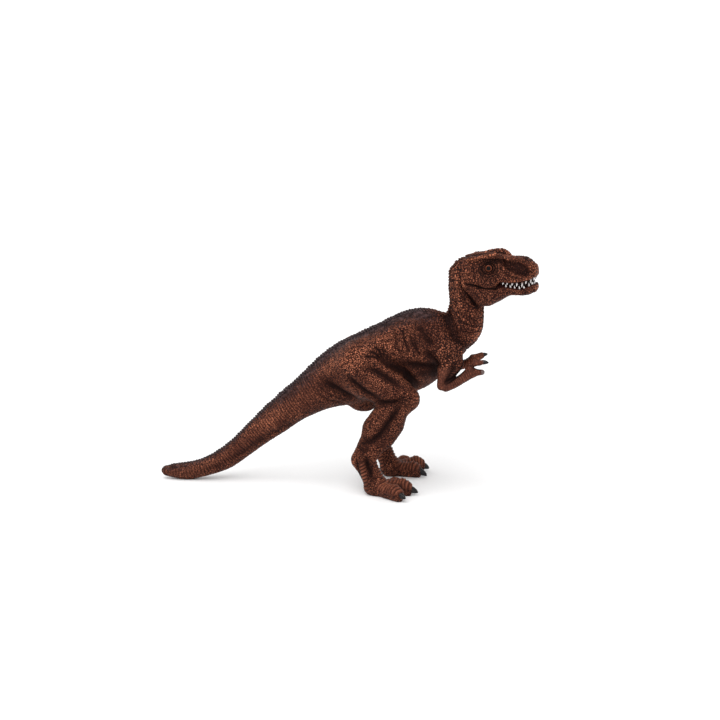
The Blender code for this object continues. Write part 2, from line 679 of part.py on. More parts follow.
def tooth_rows():
    """Teeth of both rows. The upper ones hang outside the lower ones, half a pitch apart."""
    upper, lower = [], []
    first, last = TOOTH_SPAN_SHARES
    pitch = (last - first) / TEETH_A_SIDE
    for side in (-1, 1):
        for i in range(TEETH_A_SIDE):
            at = first + pitch * (i + 0.5)
            out, lip, _, floor_lip = lips(at)
            reach = min(TOOTH_LENGTH, lip - floor_lip - SEAM_GAP)
            root = head_point(skull_start + at * SKULL_LENGTH, side * out, lip + TOOTH_ROOT)
            upper.append((root, -UP, reach + TOOTH_ROOT, TOOTH_RADIUS))
            at -= pitch / 2
            _, lip, inner, floor_lip = lips(at)
            reach = min(TOOTH_LENGTH, lip - floor_lip - SEAM_GAP)
            root = head_point(skull_start + at * SKULL_LENGTH, side * inner, floor_lip - TOOTH_ROOT)
            lower.append((root, UP, reach + TOOTH_ROOT, TOOTH_RADIUS))
    return upper, lower


# The empty scene and the finishes
for old in list(bpy.data.objects):
    bpy.data.objects.remove(old)
figure = bpy.data.objects.new("figure", None)
bpy.context.scene.collection.objects.link(figure)
HIDE_FINISH = ("hide_paint", HIDE_BROWN, HIDE_ROUGHNESS)
JAW_FINISH = ("jaw_paint", JAW_BROWN, HIDE_ROUGHNESS)
TAIL_FINISH = ("tail_paint", TAIL_BROWN, HIDE_ROUGHNESS)
ARM_FINISH = ("arm_paint", ARM_BROWN, HIDE_ROUGHNESS)
CLAW_FINISH = ("claw_paint", CLAW_BLACK, GLOSS_ROUGHNESS)
TOOTH_FINISH = ("tooth_paint", TOOTH_WHITE, GLOSS_ROUGHNESS)
EYE_FINISH = ("eye_paint", EYE_AMBER, GLOSS_ROUGHNESS)

# Legs, which set the height of everything above them
leg_right, hip_right = leg("leg_right", -1, 0, 0, 0, 0)
leg_left, hip_left = leg("leg_left", 1, LEFT_STRIDE, LEFT_HIP_BACK, LEFT_HIP_DROP, LEFT_FOOT_TURN)
hip = Vector((hip_right.x, 0, hip_right.z))

# Torso and neck
torso_start = hip - FORWARD * (TORSO_LENGTH * HIP_ALONG_SHARE)
torso_end = torso_start + FORWARD * TORSO_LENGTH
torso_form = form(torso_start, torso_end, TORSO_SHARES, TORSO_DEPTH, TORSO_HALF_WIDTH, (0, CHEST_DOME))
neck_root = torso_start + FORWARD * (TORSO_LENGTH * NECK_ALONG_SHARE) + UP * (TORSO_DEPTH * NECK_ROOT_SHARE)
neck_top = neck_root + UP * NECK_LENGTH
neck_form = form(
    neck_root, neck_top, NECK_SHARES, NECK_DEPTH, NECK_HALF_WIDTH, (NECK_ROOT_DOME, NECK_TOP_DOME), -ACROSS
)
torso = loft("torso", torso_form, LONG_STEPS, hip)
paint(torso, HIDE_FINISH)
neck = loft("neck", neck_form, LIMB_STEPS, hip)
bump_along, bump_drop = PELVIS_BUMP_PLACE_SHARES
bump_centre = torso_start + FORWARD * (TORSO_LENGTH * bump_along) + UP * (TORSO_DEPTH * bump_drop)
bump_halves = (PELVIS_BUMP_LENGTH / 2, PELVIS_BUMP_WIDTH / 2, PELVIS_BUMP_HEIGHT / 2)
pelvis_bump = ball("pelvis_bump", bump_centre, bump_halves, hip)
join(torso, neck, pelvis_bump)

# Tail: its first section is the torso's last one, and its underside comes down to the ground
seam_low, seam_high, seam_half_width = torso_form.rows[0, 1:4]
seam_bottom = hip.z + seam_low
tail_start = Vector((torso_start.x - SEAM_GAP, 0, 0))
tail_end = tail_start - FORWARD * TAIL_LENGTH
tail_rows = [
    (t, low * seam_bottom, low * seam_bottom + tall * (seam_high - seam_low), wide * seam_half_width,
     -sway * TAIL_SWAY)
    for t, low, tall, wide, sway in TAIL_SHARES
]
tail_form = Form(tail_end, tail_start, ACROSS, np.array([(1 - r[0], *r[1:]) for r in tail_rows[::-1]]),
                 (TAIL_DOME, 0), ROUND)
tail_joint = tail_start + UP * (seam_bottom + (seam_high - seam_low) / 2)
tail = loft("tail", tail_form, LONG_STEPS, tail_joint)
paint(tail, TAIL_FINISH)

# Head and lower jaw, turned about the neck's axis
mouth_line = neck_root + UP * (NECK_LENGTH * MOUTH_LINE_SHARE)
turn = Matrix.Rotation(HEAD_YAW, 3, "Z")
head_forward, head_across = turn @ FORWARD, turn @ ACROSS
skull_start = SKULL_START_SHARE * NECK_DEPTH
jaw_start = JAW_START_SHARE * NECK_DEPTH
jaw_length = skull_start + SKULL_LENGTH - JAW_TIP_BACK - jaw_start
skull_form = form(
    head_point(skull_start, 0, 0), head_point(skull_start + SKULL_LENGTH, 0, 0), SKULL_SHARES,
    SKULL_DEPTH, SKULL_HALF_WIDTH, (SKULL_REAR_DOME, SNOUT_DOME), head_across, SKULL_OUTLINE,
)
jaw_form = form(
    head_point(jaw_start, 0, 0), head_point(jaw_start + jaw_length, 0, 0), JAW_SHARES,
    JAW_DEPTH, JAW_HALF_WIDTH, (JAW_REAR_DOME, SNOUT_DOME), head_across, JAW_OUTLINE,
)
head = loft("head", skull_form, HEAD_STEPS, mouth_line)
paint(head, HIDE_FINISH)
lower_jaw = loft("lower_jaw", jaw_form, HEAD_STEPS, mouth_line)
paint(lower_jaw, JAW_FINISH)

brow_along, brow_rise = BROW_PLACE_SHARES
eye_along, eye_rise = EYE_PLACE_SHARES
for label, side in (("right", -1), ("left", 1)):
    brow_x = skull_start + SKULL_LENGTH * brow_along
    brow_z = SKULL_DEPTH * brow_rise
    brow_start = head_point(brow_x, side * BROW_OUT, brow_z)
    brow_end = head_point(brow_x + BROW_LENGTH, side * BROW_OUT * (1 - BROW_CLOSE_SHARE), brow_z)
    brow_form = form(
        brow_start, brow_end, BROW_SHARES, BROW_DEPTH, BROW_HALF_WIDTH,
        (BROW_HALF_WIDTH, BROW_HALF_WIDTH), square_across(brow_start, brow_end),
    )
    brow = loft("brow_" + label, brow_form, SHORT_STEPS, mouth_line, THIN_RING_POINTS)
    eye_centre = head_point(skull_start + SKULL_LENGTH * eye_along, side * EYE_OUT, SKULL_DEPTH * eye_rise)
    eye = ball("eye_" + label, eye_centre, (EYE_RADIUS, EYE_RADIUS, EYE_RADIUS), mouth_line)
    paint(eye, EYE_FINISH)
    join(head, brow, eye)

upper_teeth, lower_teeth = tooth_rows()
upper_row = cones("upper_teeth", upper_teeth, mouth_line)
lower_row = cones("lower_teeth", lower_teeth, mouth_line)
paint(upper_row, TOOTH_FINISH)
paint(lower_row, TOOTH_FINISH)
tongue_x = jaw_start + jaw_length * TONGUE_START_SHARE
tongue_length = jaw_length * (1 - TONGUE_START_SHARE) - TONGUE_TIP_BACK
tongue_z = JAW_DEPTH * TONGUE_RISE_SHARE
tongue_form = form(
    head_point(tongue_x, 0, tongue_z), head_point(tongue_x + tongue_length, 0, tongue_z), TONGUE_SHARES,
    TONGUE_DEPTH, TONGUE_HALF_WIDTH, (TONGUE_DEPTH / 3, TONGUE_DEPTH / 3), head_across,
)
tongue = loft("tongue", tongue_form, SHORT_STEPS, mouth_line, THIN_RING_POINTS)
join(head, upper_row)
join(lower_jaw, tongue)

# Arms
shoulder_along, shoulder_rise = SHOULDER_SHARES
arms = {}
for label, side, back in (("arm_right", -1, 0), ("arm_left", 1, LEFT_SHOULDER_BACK)):
    shoulder = Vector((
        torso_start.x + TORSO_LENGTH * shoulder_along - back,
        side * SHOULDER_OUT,
        hip.z + TORSO_DEPTH * shoulder_rise,
    ))
    arms[label] = (arm(label, side, shoulder), shoulder, side)

# Seams: a moulding is cut back by its larger neighbour, grown by the glue line
torso_room = loft("torso_room", torso_form, LONG_STEPS, hip, grow=SEAM_GAP)
neck_room = loft("neck_room", neck_form, LIMB_STEPS, hip, grow=SEAM_GAP)
tail_room = loft("tail_room", tail_form, LONG_STEPS, tail_joint, grow=SEAM_GAP)
skull_room = loft("skull_room", skull_form, HEAD_STEPS, mouth_line, grow=SEAM_GAP)
jaw_room = loft("jaw_room", jaw_form, HEAD_STEPS, mouth_line, grow=SEAM_GAP)
for limb in (leg_right, leg_left, *(made for made, _, _ in arms.values())):
    cut(limb, torso_room, neck_room, tail_room)
cut(torso, skull_room, jaw_room)
cut(lower_jaw, skull_room)
join(lower_jaw, lower_row)


def plug(holder, taker, label, seat, direction, upright, size, origin):
    """A peg on one moulding, and its socket, one glue line larger, in the other."""
    join(holder, peg(label + "_peg", seat, direction, upright, size, origin))
    cut(taker, peg(label + "_socket", seat, direction, upright, size, origin, SEAM_GAP))


seam_middle = torso_start + UP * (seam_low + seam_high) / 2
plug(tail, torso, "tail", seam_middle, FORWARD, UP, TAIL_PEG, hip)
limbs = [(leg_right, hip_right, -1, HIP_PEG), (leg_left, hip_left, 1, HIP_PEG)]
limbs += [(made, at, side, SHOULDER_PEG) for made, at, side in arms.values()]
for made, at, side, size in limbs:
    along_torso = (at.x - torso_start.x) / TORSO_LENGTH
    flank = Vector((at.x, side * between(torso_form.rows, np.array([along_torso]))[0][2], at.z))
    plug(made, torso, made.name, flank, Vector((0, -side, 0)), UP, size, hip)
plug(torso, head, "neck", head_point(skull_start, 0, SKULL_DEPTH / 2), head_forward, UP, NECK_PEG, mouth_line)
jaw_seat = head_point(jaw_start + jaw_length * JAW_PEG_SHARE, 0, 0)
plug(lower_jaw, head, "jaw", jaw_seat, UP, head_across, JAW_PEG, mouth_line)

# Soles: everything below the ground plane is cut off flat
ground = bmesh.new()
bmesh.ops.create_cube(ground, size=1.0)
slab = TORSO_LENGTH + TAIL_LENGTH + NECK_LENGTH
bmesh.ops.transform(
    ground, matrix=Matrix.Translation(-UP * slab / 2) @ Matrix.Diagonal((2 * slab, slab, slab, 1)),
    verts=ground.verts,
)
ground.verts.index_update()
ground_points = [v.co.copy() for v in ground.verts]
ground_faces = [tuple(v.index for v in f.verts) for f in ground.faces]
ground.free()
floor = mesh_object("floor", ground_points, ground_faces, Vector((0, 0, 0)))
for moulding in (leg_right, leg_left, tail):
    cut(moulding, floor)

# The origin goes to the middle of the figure's box, on the ground
bpy.context.view_layer.update()
reach = [
    obj.matrix_world @ Vector(corner)
    for obj in bpy.data.objects
    if obj.type == "MESH" and obj is not floor and not obj.name.endswith(("_room", "_socket"))
    for corner in obj.bound_box
]
middle_x = (min(p.x for p in reach) + max(p.x for p in reach)) / 2
middle_y = (min(p.y for p in reach) + max(p.y for p in reach)) / 2
figure.location = (-middle_x, -middle_y, 0)
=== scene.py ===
# %% [markdown]
# # A painted toy dinosaur, sculpted with numpy
# The real figure is eight glued plastic mouldings with a pebbled skin and three layers of paint.
# The CAD model holds their sizes, and this lesson makes the skin, the claws, the teeth, the eyes
# and the paint on the same places.

# %% The frame
import json
import math
from collections import namedtuple

import bpy
import numpy as np
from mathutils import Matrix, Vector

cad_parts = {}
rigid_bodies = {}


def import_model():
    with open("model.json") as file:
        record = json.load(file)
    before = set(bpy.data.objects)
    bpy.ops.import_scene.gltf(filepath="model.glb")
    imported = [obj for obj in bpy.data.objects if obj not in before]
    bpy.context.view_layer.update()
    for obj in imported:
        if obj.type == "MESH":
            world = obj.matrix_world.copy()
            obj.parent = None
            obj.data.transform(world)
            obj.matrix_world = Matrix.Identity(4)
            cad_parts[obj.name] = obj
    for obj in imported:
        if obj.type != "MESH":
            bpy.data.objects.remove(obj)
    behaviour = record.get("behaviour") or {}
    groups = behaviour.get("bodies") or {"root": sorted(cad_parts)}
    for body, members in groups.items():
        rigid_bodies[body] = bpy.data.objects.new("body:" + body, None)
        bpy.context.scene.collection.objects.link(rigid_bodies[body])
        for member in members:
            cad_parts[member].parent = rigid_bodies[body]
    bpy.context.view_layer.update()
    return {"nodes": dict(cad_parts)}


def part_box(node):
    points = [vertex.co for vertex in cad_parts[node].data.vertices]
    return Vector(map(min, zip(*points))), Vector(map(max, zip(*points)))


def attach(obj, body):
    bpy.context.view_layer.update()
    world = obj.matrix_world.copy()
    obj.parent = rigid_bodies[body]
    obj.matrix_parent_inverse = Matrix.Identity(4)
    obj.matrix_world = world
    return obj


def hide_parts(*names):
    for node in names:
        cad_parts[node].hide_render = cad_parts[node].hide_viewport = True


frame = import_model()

print("CAD nodes:", sorted(frame["nodes"]))

# %% [markdown]
# ## Sizes
# The skin is lofted from nearly the same lengths as the CAD model. A few sizes and shares were set
# closer to the real outline. Lengths are in millimetres, and the last step makes them metres.

# %% Sizes
MM = 0.001
THIGH_LENGTH, THIGH_LEAN = 17.7, math.radians(35)
SHIN_LENGTH, SHIN_LEAN = 23.9, math.radians(37)
INSTEP_LENGTH, INSTEP_LEAN = 9.6, math.radians(29)
ANKLE_HEIGHT = 2.6
HIP_OUT, KNEE_OUT, FOOT_OUT = 8.2, 10.4, 11.2
TORSO_LENGTH, TORSO_DEPTH, TORSO_HALF_WIDTH = 43.0, 26.7, 9.5
HIP_ALONG_SHARE = 0.326
TAIL_LENGTH, TAIL_DOME, TAIL_SWAY = 49.5, 1.95, 2.7
NECK_LENGTH, NECK_DEPTH, NECK_HALF_WIDTH = 28.0, 11.4, 6.2
SKULL_LENGTH, SKULL_DEPTH, SKULL_HALF_WIDTH = 21.5, 9.2, 6.6
JAW_DEPTH, JAW_HALF_WIDTH = 7.2, 6.0
HEAD_YAW = math.radians(-8)
SEAM_GAP, SOLE_SINK = 0.3, 0.3
UPPER_ARM_LENGTH, FOREARM_LENGTH = 10.6, 9.2

# Each bone's depth, its half width and the domes at its two ends
THIGH_SECTION = (14.8, 5.6, (3.26, 3.5))
SHIN_SECTION = (9.8, 4.0, (2.2, 2.55))
INSTEP_SECTION = (5.8, 2.7, (2.09, 2.09))
TOE_SECTION = (5.1, 2.2, (0.9, 0.9))
UPPER_ARM_SECTION = (7.0, 2.3, (1.82, 1.68))
FOREARM_SECTION = (3.6, 1.75, (1.44, 1.22))
BROW_SECTION = (2.2, 1.05, (1.05, 1.05))
print("length over the torso and the tail, mm:", TORSO_LENGTH + TAIL_LENGTH)

# %% [markdown]
# ## Tables of shares
# A loft is a row of ovals on an axis. Each row of a table says how far along the axis its oval
# stands, where its underside and its top are as shares of the depth, and how wide it is as a share
# of the half width. A table like this is easy to draw from a side view.

# %% Tables
THIGH_SHARES = (
    (-0.22, -0.36, 0.36, 0.72), (0.0, -0.49, 0.48, 0.96), (0.3, -0.50, 0.49, 1.0),
    (0.6, -0.43, 0.42, 0.89), (0.85, -0.30, 0.35, 0.72), (1.0, -0.17, 0.31, 0.62),
)
SHIN_SHARES = (
    (0.0, -0.33, 0.22, 0.86), (0.16, -0.53, 0.305, 0.95), (0.35, -0.68, 0.465, 1.0),
    (0.55, -0.67, 0.50, 0.86), (0.75, -0.47, 0.405, 0.71), (1.0, -0.31, 0.37, 0.63),
)
INSTEP_SHARES = (
    (0.0, -0.46, 0.64, 0.92), (0.3, -0.45, 0.63, 0.85), (0.7, -0.47, 0.58, 0.92), (1.0, -0.48, 0.55, 1.05),
)
TOE_SHARES = (
    (0.0, -0.49, 0.48, 1.0), (0.22, -0.49, 0.47, 0.98), (0.36, -0.49, 0.41, 0.88), (0.5, -0.49, 0.44, 0.96),
    (0.64, -0.49, 0.46, 0.86), (0.8, -0.49, 0.53, 0.95), (1.0, -0.47, 0.36, 0.76),
)
TORSO_SHARES = (
    (0.0, -0.625, 0.056, 0.695), (0.093, -0.569, 0.172, 0.80), (0.209, -0.528, 0.277, 0.905),
    (0.326, -0.506, 0.375, 0.968), (0.442, -0.476, 0.468, 0.99), (0.558, -0.418, 0.568, 1.0),
    (0.674, -0.358, 0.632, 1.0), (0.767, -0.293, 0.65, 0.968), (0.86, -0.183, 0.625, 0.884),
    (0.942, -0.035, 0.573, 0.758), (1.0, 0.10, 0.483, 0.61),
)
# Tail: along, low as a share of the seam's low, then height, half width and sway
TAIL_SHARES = (
    (0.119, 0.866, 0.827, 0.85, 0.0), (0.222, 0.712, 0.761, 0.75, 0.0), (0.352, 0.526, 0.676, 0.65, 0.05),
    (0.465, 0.347, 0.589, 0.57, 0.12), (0.584, 0.170, 0.484, 0.49, 0.28), (0.687, 0.083, 0.385, 0.44, 0.45),
    (0.788, 0.025, 0.323, 0.40, 0.65), (0.869, -0.002, 0.305, 0.365, 0.82), (0.949, 0.014, 0.256, 0.31, 0.95),
    (1.0, 0.036, 0.194, 0.23, 1.0),
)
NECK_SHARES = (
    (0.0, -0.965, -0.08, 1.0), (0.143, -0.868, 0.275, 0.984), (0.286, -0.711, 0.405, 0.903),
    (0.429, -0.575, 0.425, 0.823), (0.571, -0.512, 0.405, 0.79), (0.75, -0.540, 0.36, 0.806),
    (0.893, -0.530, 0.32, 0.79), (1.0, -0.365, 0.263, 0.677),
)
SKULL_SHARES = (
    (0.0, -0.01, 0.90, 0.92), (0.099, -0.02, 0.957, 1.0), (0.234, -0.065, 0.989, 1.0),
    (0.347, -0.15, 1.0, 0.955), (0.468, -0.10, 0.985, 0.864), (0.532, 0.065, 0.97, 0.818),
    (0.685, 0.055, 0.955, 0.712), (0.838, 0.10, 0.96, 0.652), (0.932, 0.185, 0.885, 0.576),
    (1.0, 0.30, 0.75, 0.44),
)
JAW_SHARES = (
    (0.0, -0.30, 0.07, 0.933), (0.093, -0.58, 0.07, 1.0), (0.209, -1.0, 0.07, 1.0),
    (0.326, -0.985, 0.07, 0.933), (0.451, -0.808, 0.0, 0.85), (0.516, -0.705, 0.055, 0.817),
    (0.674, -0.455, -0.03, 0.717), (0.833, -0.435, -0.085, 0.65), (0.93, -0.40, 0.015, 0.567),
    (1.0, -0.30, 0.12, 0.43),
)
BROW_SHARES = (
    (0.0, -0.60, 0.10, 0.7), (0.25, -0.40, 0.25, 0.95), (0.65, -0.20, 0.76, 1.0),
    (0.85, -0.40, 0.45, 0.9), (1.0, -0.60, -0.05, 0.7),
)
UPPER_ARM_SHARES = (
    (0.0, -0.50, 0.60, 0.87), (0.35, -0.44, 0.73, 0.95), (0.7, -0.36, 0.45, 0.9), (1.0, -0.35, 0.0, 0.85),
)
FOREARM_SHARES = (
    (0.0, -0.58, 0.28, 1.0), (0.28, -0.65, 0.16, 0.96), (0.7, -0.61, 0.27, 0.88), (1.0, -0.54, 0.60, 0.98),
)
FAR_FOREARM_SHARES = (
    (0.0, -0.50, 0.28, 1.0), (0.28, -0.58, 0.20, 0.96), (0.7, -0.62, 0.20, 0.88), (1.0, -0.54, 0.34, 0.98),
)
FINGER_SHARES = ((0.0, -1.0, 1.0, 1.0), (0.6, -0.85, 0.85, 0.88), (1.0, -0.72, 0.72, 0.75))
print("rows in the torso's table:", len(TORSO_SHARES))

# %% [markdown]
# ## A skin worked out from a field
# Limbs that melt into a body can't be drawn on one grid of rows and columns, so the skin is made
# another way. Each form gives every point of space its distance to that form's surface, and forms
# that meet are melted with a soft minimum. The skin is where the result is zero.

# %% Distance to a loft
Y_AXIS, Z_AXIS = np.eye(3)[1:]
Form = namedtuple("Form", "start along length across up rows domes outline low high")


def unit(vector):
    return np.asarray(vector, float) / np.linalg.norm(vector)


def unit_rows(vectors):
    return vectors / np.linalg.norm(vectors, axis=1, keepdims=True)


def square_across(start, end):
    """The sideways direction that is square to an axis that leans a little outward."""
    axis = unit(end - start)
    return unit(Y_AXIS - axis * axis[1])


def form(start, end, shares, depth, half_width, domes, across=Y_AXIS, outline=(0.5, 2.15)):
    """A loft's axis, and its table of lows, highs, half widths and sways in millimetres."""
    start, end = np.asarray(start, float), np.asarray(end, float)
    rows = np.array([(row[0], row[1] * depth, row[2] * depth, row[3] * half_width, *(row[4:] or (0.0,)))
                     for row in shares])
    along, length = unit(end - start), np.linalg.norm(end - start)
    up = np.cross(along, across)
    reach = np.abs(rows[:, 1:4]).max() + max(domes) + 3
    ends = np.array([start + along * length * rows[0, 0], start + along * length * rows[-1, 0]])
    middles = up * (rows[:, 1] + rows[:, 2]).mean() / 2
    low, high = ends.min(0) + middles - reach, ends.max(0) + middles + reach
    return Form(start, along, length, np.asarray(across), up, rows, domes, outline, low, high)


def rows_at(rows, at):
    """Rows of a table at the given shares, on a smooth curve that never overshoots its points."""
    along, values = rows[:, 0], rows[:, 1:]
    step = np.diff(along)
    slope = np.diff(values, axis=0) / step[:, None]
    before, after = slope[:-1], slope[1:]
    total = np.where(before * after > 0, before + after, 1)
    tangent = np.vstack([slope[:1], np.where(before * after > 0, 2 * before * after / total, 0), slope[-1:]])
    k = np.clip(np.searchsorted(along, at) - 1, 0, len(step) - 1)
    u, h = ((at - along[k]) / step[k])[:, None], step[k][:, None]
    near, far = (1 + 2 * u) * (1 - u) ** 2, u**2 * (3 - 2 * u)
    lean_near, lean_far = u * (1 - u) ** 2 * h, u**2 * (u - 1) * h
    return near * values[k] + far * values[k + 1] + lean_near * tangent[k] + lean_far * tangent[k + 1]


FAR = 9.0  # the distance that a form gives to places far from it


def loft(shape, points):
    """Distance to a loft's skin, below zero inside. It is the length of the ray from the section's middle
    times (1 - 1 / n), where n is the size of the oval through the point. Past an end the oval is a dome."""
    found = np.full(len(points), FAR)
    close = ((points > shape.low) & (points < shape.high)).all(1)
    offset = points[close] - shape.start
    share = offset @ shape.along / shape.length
    held = np.clip(share, shape.rows[0, 0], shape.rows[-1, 0])
    low, high, wide, sway = rows_at(shape.rows, held).T
    past = (share - held) * shape.length
    dome = np.where(past < 0, shape.domes[0], shape.domes[1])
    waist, power = shape.outline
    middle = low + waist * (high - low)
    side = offset @ shape.across - sway
    rise = offset @ shape.up - middle
    reach = np.where(rise > 0, high - middle, middle - low)
    n = (np.abs(side / wide) ** power + np.abs(rise / reach) ** power) ** (1 / power)
    n = np.sqrt(n**2 + (past / dome) ** 2) + 1e-9
    found[close] = np.sqrt(side**2 + rise**2 + past**2) * (1 - 1 / n)
    return found


def egg(centre, halves, points):
    """Distance to an ellipsoid, measured along the ray from its centre."""
    offset = points - centre
    n = np.linalg.norm(offset / halves, axis=1) + 1e-9
    return np.linalg.norm(offset, axis=1) * (1 - 1 / n)


def melt(a, b, width):
    """The smaller of two distances, rounded where they are closer than width to each other."""
    h = np.clip(0.5 + 0.5 * (b - a) / width, 0, 1)
    return b + (a - b) * h - width * h * (1 - h)


# %% [markdown]
# ## The legs
# The bones are found the way the CAD model finds them. The legs set the hip's height, and all else
# stands on the hip. The far foot stands ahead, so a knee is worked out from the lengths of the
# thigh and the shin, with the rule of cosines.

# %% Leg forms
TOES = ((11.2, 40), (10.8, 0), (9.2, -39))  # outer, middle and inner: length, and splay in degrees
TOE_HEIGHT = 2.55
PAD_HEIGHT, PAD_HALVES = 2.0, (3.5, 3.1, 2.3)
Toe = namedtuple("Toe", "form start heading length")
Leg = namedtuple("Leg", "side joints thigh shin instep pad toes")


def leg_joints(side, stride, hip_back, hip_drop):
    """Hip, knee, hock and ankle of a leg whose bones keep their lengths."""
    shin_fall = math.cos(SHIN_LEAN) * SHIN_LENGTH
    instep = np.array([math.sin(INSTEP_LEAN), 0, -math.cos(INSTEP_LEAN)]) * INSTEP_LENGTH
    hip_height = ANKLE_HEIGHT - instep[2] + shin_fall + math.sin(THIGH_LEAN) * THIGH_LENGTH
    hock_x = math.cos(THIGH_LEAN) * THIGH_LENGTH - math.sin(SHIN_LEAN) * SHIN_LENGTH + stride
    hip = np.array([-hip_back, side * HIP_OUT, hip_height - hip_drop])
    hock = np.array([hock_x, side * FOOT_OUT, ANKLE_HEIGHT - instep[2]])
    reach = math.hypot(hock[0] - hip[0], hock[2] - hip[2])
    dip = math.atan2(hip[2] - hock[2], hock[0] - hip[0])
    bend = math.acos((THIGH_LENGTH**2 + reach**2 - SHIN_LENGTH**2) / (2 * THIGH_LENGTH * reach))
    knee = hip + THIGH_LENGTH * np.array([math.cos(dip - bend), 0, -math.sin(dip - bend)])
    knee[1] = side * KNEE_OUT
    return hip, knee, hock, hock + instep


def fuller(shares, factor):
    """The same table with its front side multiplied, more and more up to its middle."""
    return [(row[0], row[1], row[2] * (1 + (factor - 1) * min(1, max(0, 2 * row[0]))), *row[3:])
            for row in shares]


def make_leg(side, stride, hip_back, hip_drop, foot_turn, fronts, tops):
    """A leg's forms. Fronts fill out its shin and instep, and tops its three toes."""
    hip, knee, hock, ankle = joints = leg_joints(side, stride, hip_back, hip_drop)
    thigh = form(hip, knee, THIGH_SHARES, *THIGH_SECTION, square_across(hip, knee))
    shin = form(knee, hock, fuller(SHIN_SHARES, fronts[0]), *SHIN_SECTION, square_across(knee, hock))
    instep = form(hock, ankle, fuller(INSTEP_SHARES, fronts[1]), *INSTEP_SECTION)
    pad = (np.array([ankle[0], ankle[1], PAD_HEIGHT]), np.array(PAD_HALVES))
    toes = []
    for (length, degrees), top in zip(TOES, tops):
        angle = math.radians(degrees + foot_turn)
        heading = np.array([math.cos(angle), side * math.sin(angle), 0])
        start = np.array([ankle[0], ankle[1], TOE_HEIGHT - SOLE_SINK])
        shape = form(start, start + heading * length, fuller(TOE_SHARES, top), *TOE_SECTION,
                     np.cross(Z_AXIS, heading))
        toes.append(Toe(shape, start, heading, length))
    return Leg(side, joints, thigh, shin, instep, pad, toes)


right_leg = make_leg(-1, 0, 0, 0, 0, (1.0, 1.14), (1.0, 1.22, 0.8))
left_leg = make_leg(1, 2.2, 2.2, 0.8, 31, (0.78, 0.93), (0.75, 1.2, 1.1))
hip_height = right_leg.joints[0][2]
torso_start = -TORSO_LENGTH * HIP_ALONG_SHARE
print("hip height, mm:", round(float(hip_height), 2))

# %% [markdown]
# ## The trunk
# The torso and the tail are one table along X, so that the skin runs on over their seam. The neck
# stands upright on the front of the torso, and a small egg makes the end of the pelvis, which
# sticks out under the root of the tail.

# %% Trunk forms
NECK_AHEAD_SHARE, NECK_UP_SHARE, MOUTH_SHARE = 1.081, 0.161, 0.786
BUMP_ALONG_SHARE, BUMP_DOWN_SHARE, BUMP_HALVES = 0.31, 0.49, (4.7, 3.3, 3.3)
seam_low = TORSO_SHARES[0][1] * TORSO_DEPTH
seam_tall = (TORSO_SHARES[0][2] - TORSO_SHARES[0][1]) * TORSO_DEPTH
seam_bottom = hip_height + seam_low
body_rows = [(torso_start + t * TORSO_LENGTH, hip_height + low * TORSO_DEPTH, hip_height + high * TORSO_DEPTH,
              wide * TORSO_HALF_WIDTH, 0.0) for t, low, high, wide in TORSO_SHARES]
tail_rows = [(torso_start - SEAM_GAP - t * TAIL_LENGTH, low * seam_bottom,
              low * seam_bottom + tall * seam_tall, wide * TORSO_SHARES[0][3] * TORSO_HALF_WIDTH,
              -sway * TAIL_SWAY) for t, low, tall, wide, sway in TAIL_SHARES]
body_rows = np.array(tail_rows[::-1] + body_rows)
body_span = body_rows[-1, 0] - body_rows[0, 0]
body_shares = np.column_stack([(body_rows[:, 0] - body_rows[0, 0]) / body_span, body_rows[:, 1:]])
BODY = form((body_rows[0, 0], 0, 0), (body_rows[-1, 0], 0, 0), body_shares, 1, 1, (TAIL_DOME, 2.6))
BODY = BODY._replace(low=np.array([-70, -14, -2.0]), high=np.array([36, 14, 64.0]))

neck_x = torso_start + TORSO_LENGTH * NECK_AHEAD_SHARE
neck_root = hip_height + TORSO_DEPTH * NECK_UP_SHARE
NECK = form((neck_x, 0, neck_root), (neck_x, 0, neck_root + NECK_LENGTH), NECK_SHARES, NECK_DEPTH,
            NECK_HALF_WIDTH, (1.5, 1.6), -Y_AXIS)
bump_middle = (torso_start + TORSO_LENGTH * BUMP_ALONG_SHARE, 0, hip_height - TORSO_DEPTH * BUMP_DOWN_SHARE)
BUMP = (np.array(bump_middle), np.array(BUMP_HALVES))
print("the trunk's table runs from", body_rows[0, 0].round(1), "to", body_rows[-1, 0].round(1), "mm")

# %% [markdown]
# ## The head
# The head looks a little to its right, so it gets a frame of its own: x ahead from the neck's axis,
# y to the left and z up from the line of the mouth. The skull and the jaw are two lofts that part
# along that line, and a ridge stands over each eye.

# %% Head forms
BROW_BACK, BROW_FRONT, BROW_HEIGHT = (2.15, 4.7), (13.65, 3.29), 8.56  # ahead and outward, then up
MOUTH = np.array([neck_x, 0, neck_root + NECK_LENGTH * MOUTH_SHARE])
HEAD_FORWARD = np.array([math.cos(HEAD_YAW), math.sin(HEAD_YAW), 0])
HEAD_ACROSS = np.array([-math.sin(HEAD_YAW), math.cos(HEAD_YAW), 0])


def head_point(x, y, z):
    """A point of the head's own frame, with the neck's axis at x = 0 and the mouth line at z = 0."""
    return MOUTH + HEAD_FORWARD * x + HEAD_ACROSS * y + Z_AXIS * z


def in_head(points):
    """Points of space in the head's own frame."""
    offset = points - MOUTH
    return np.column_stack([offset @ HEAD_FORWARD, offset @ HEAD_ACROSS, offset[:, 2]])


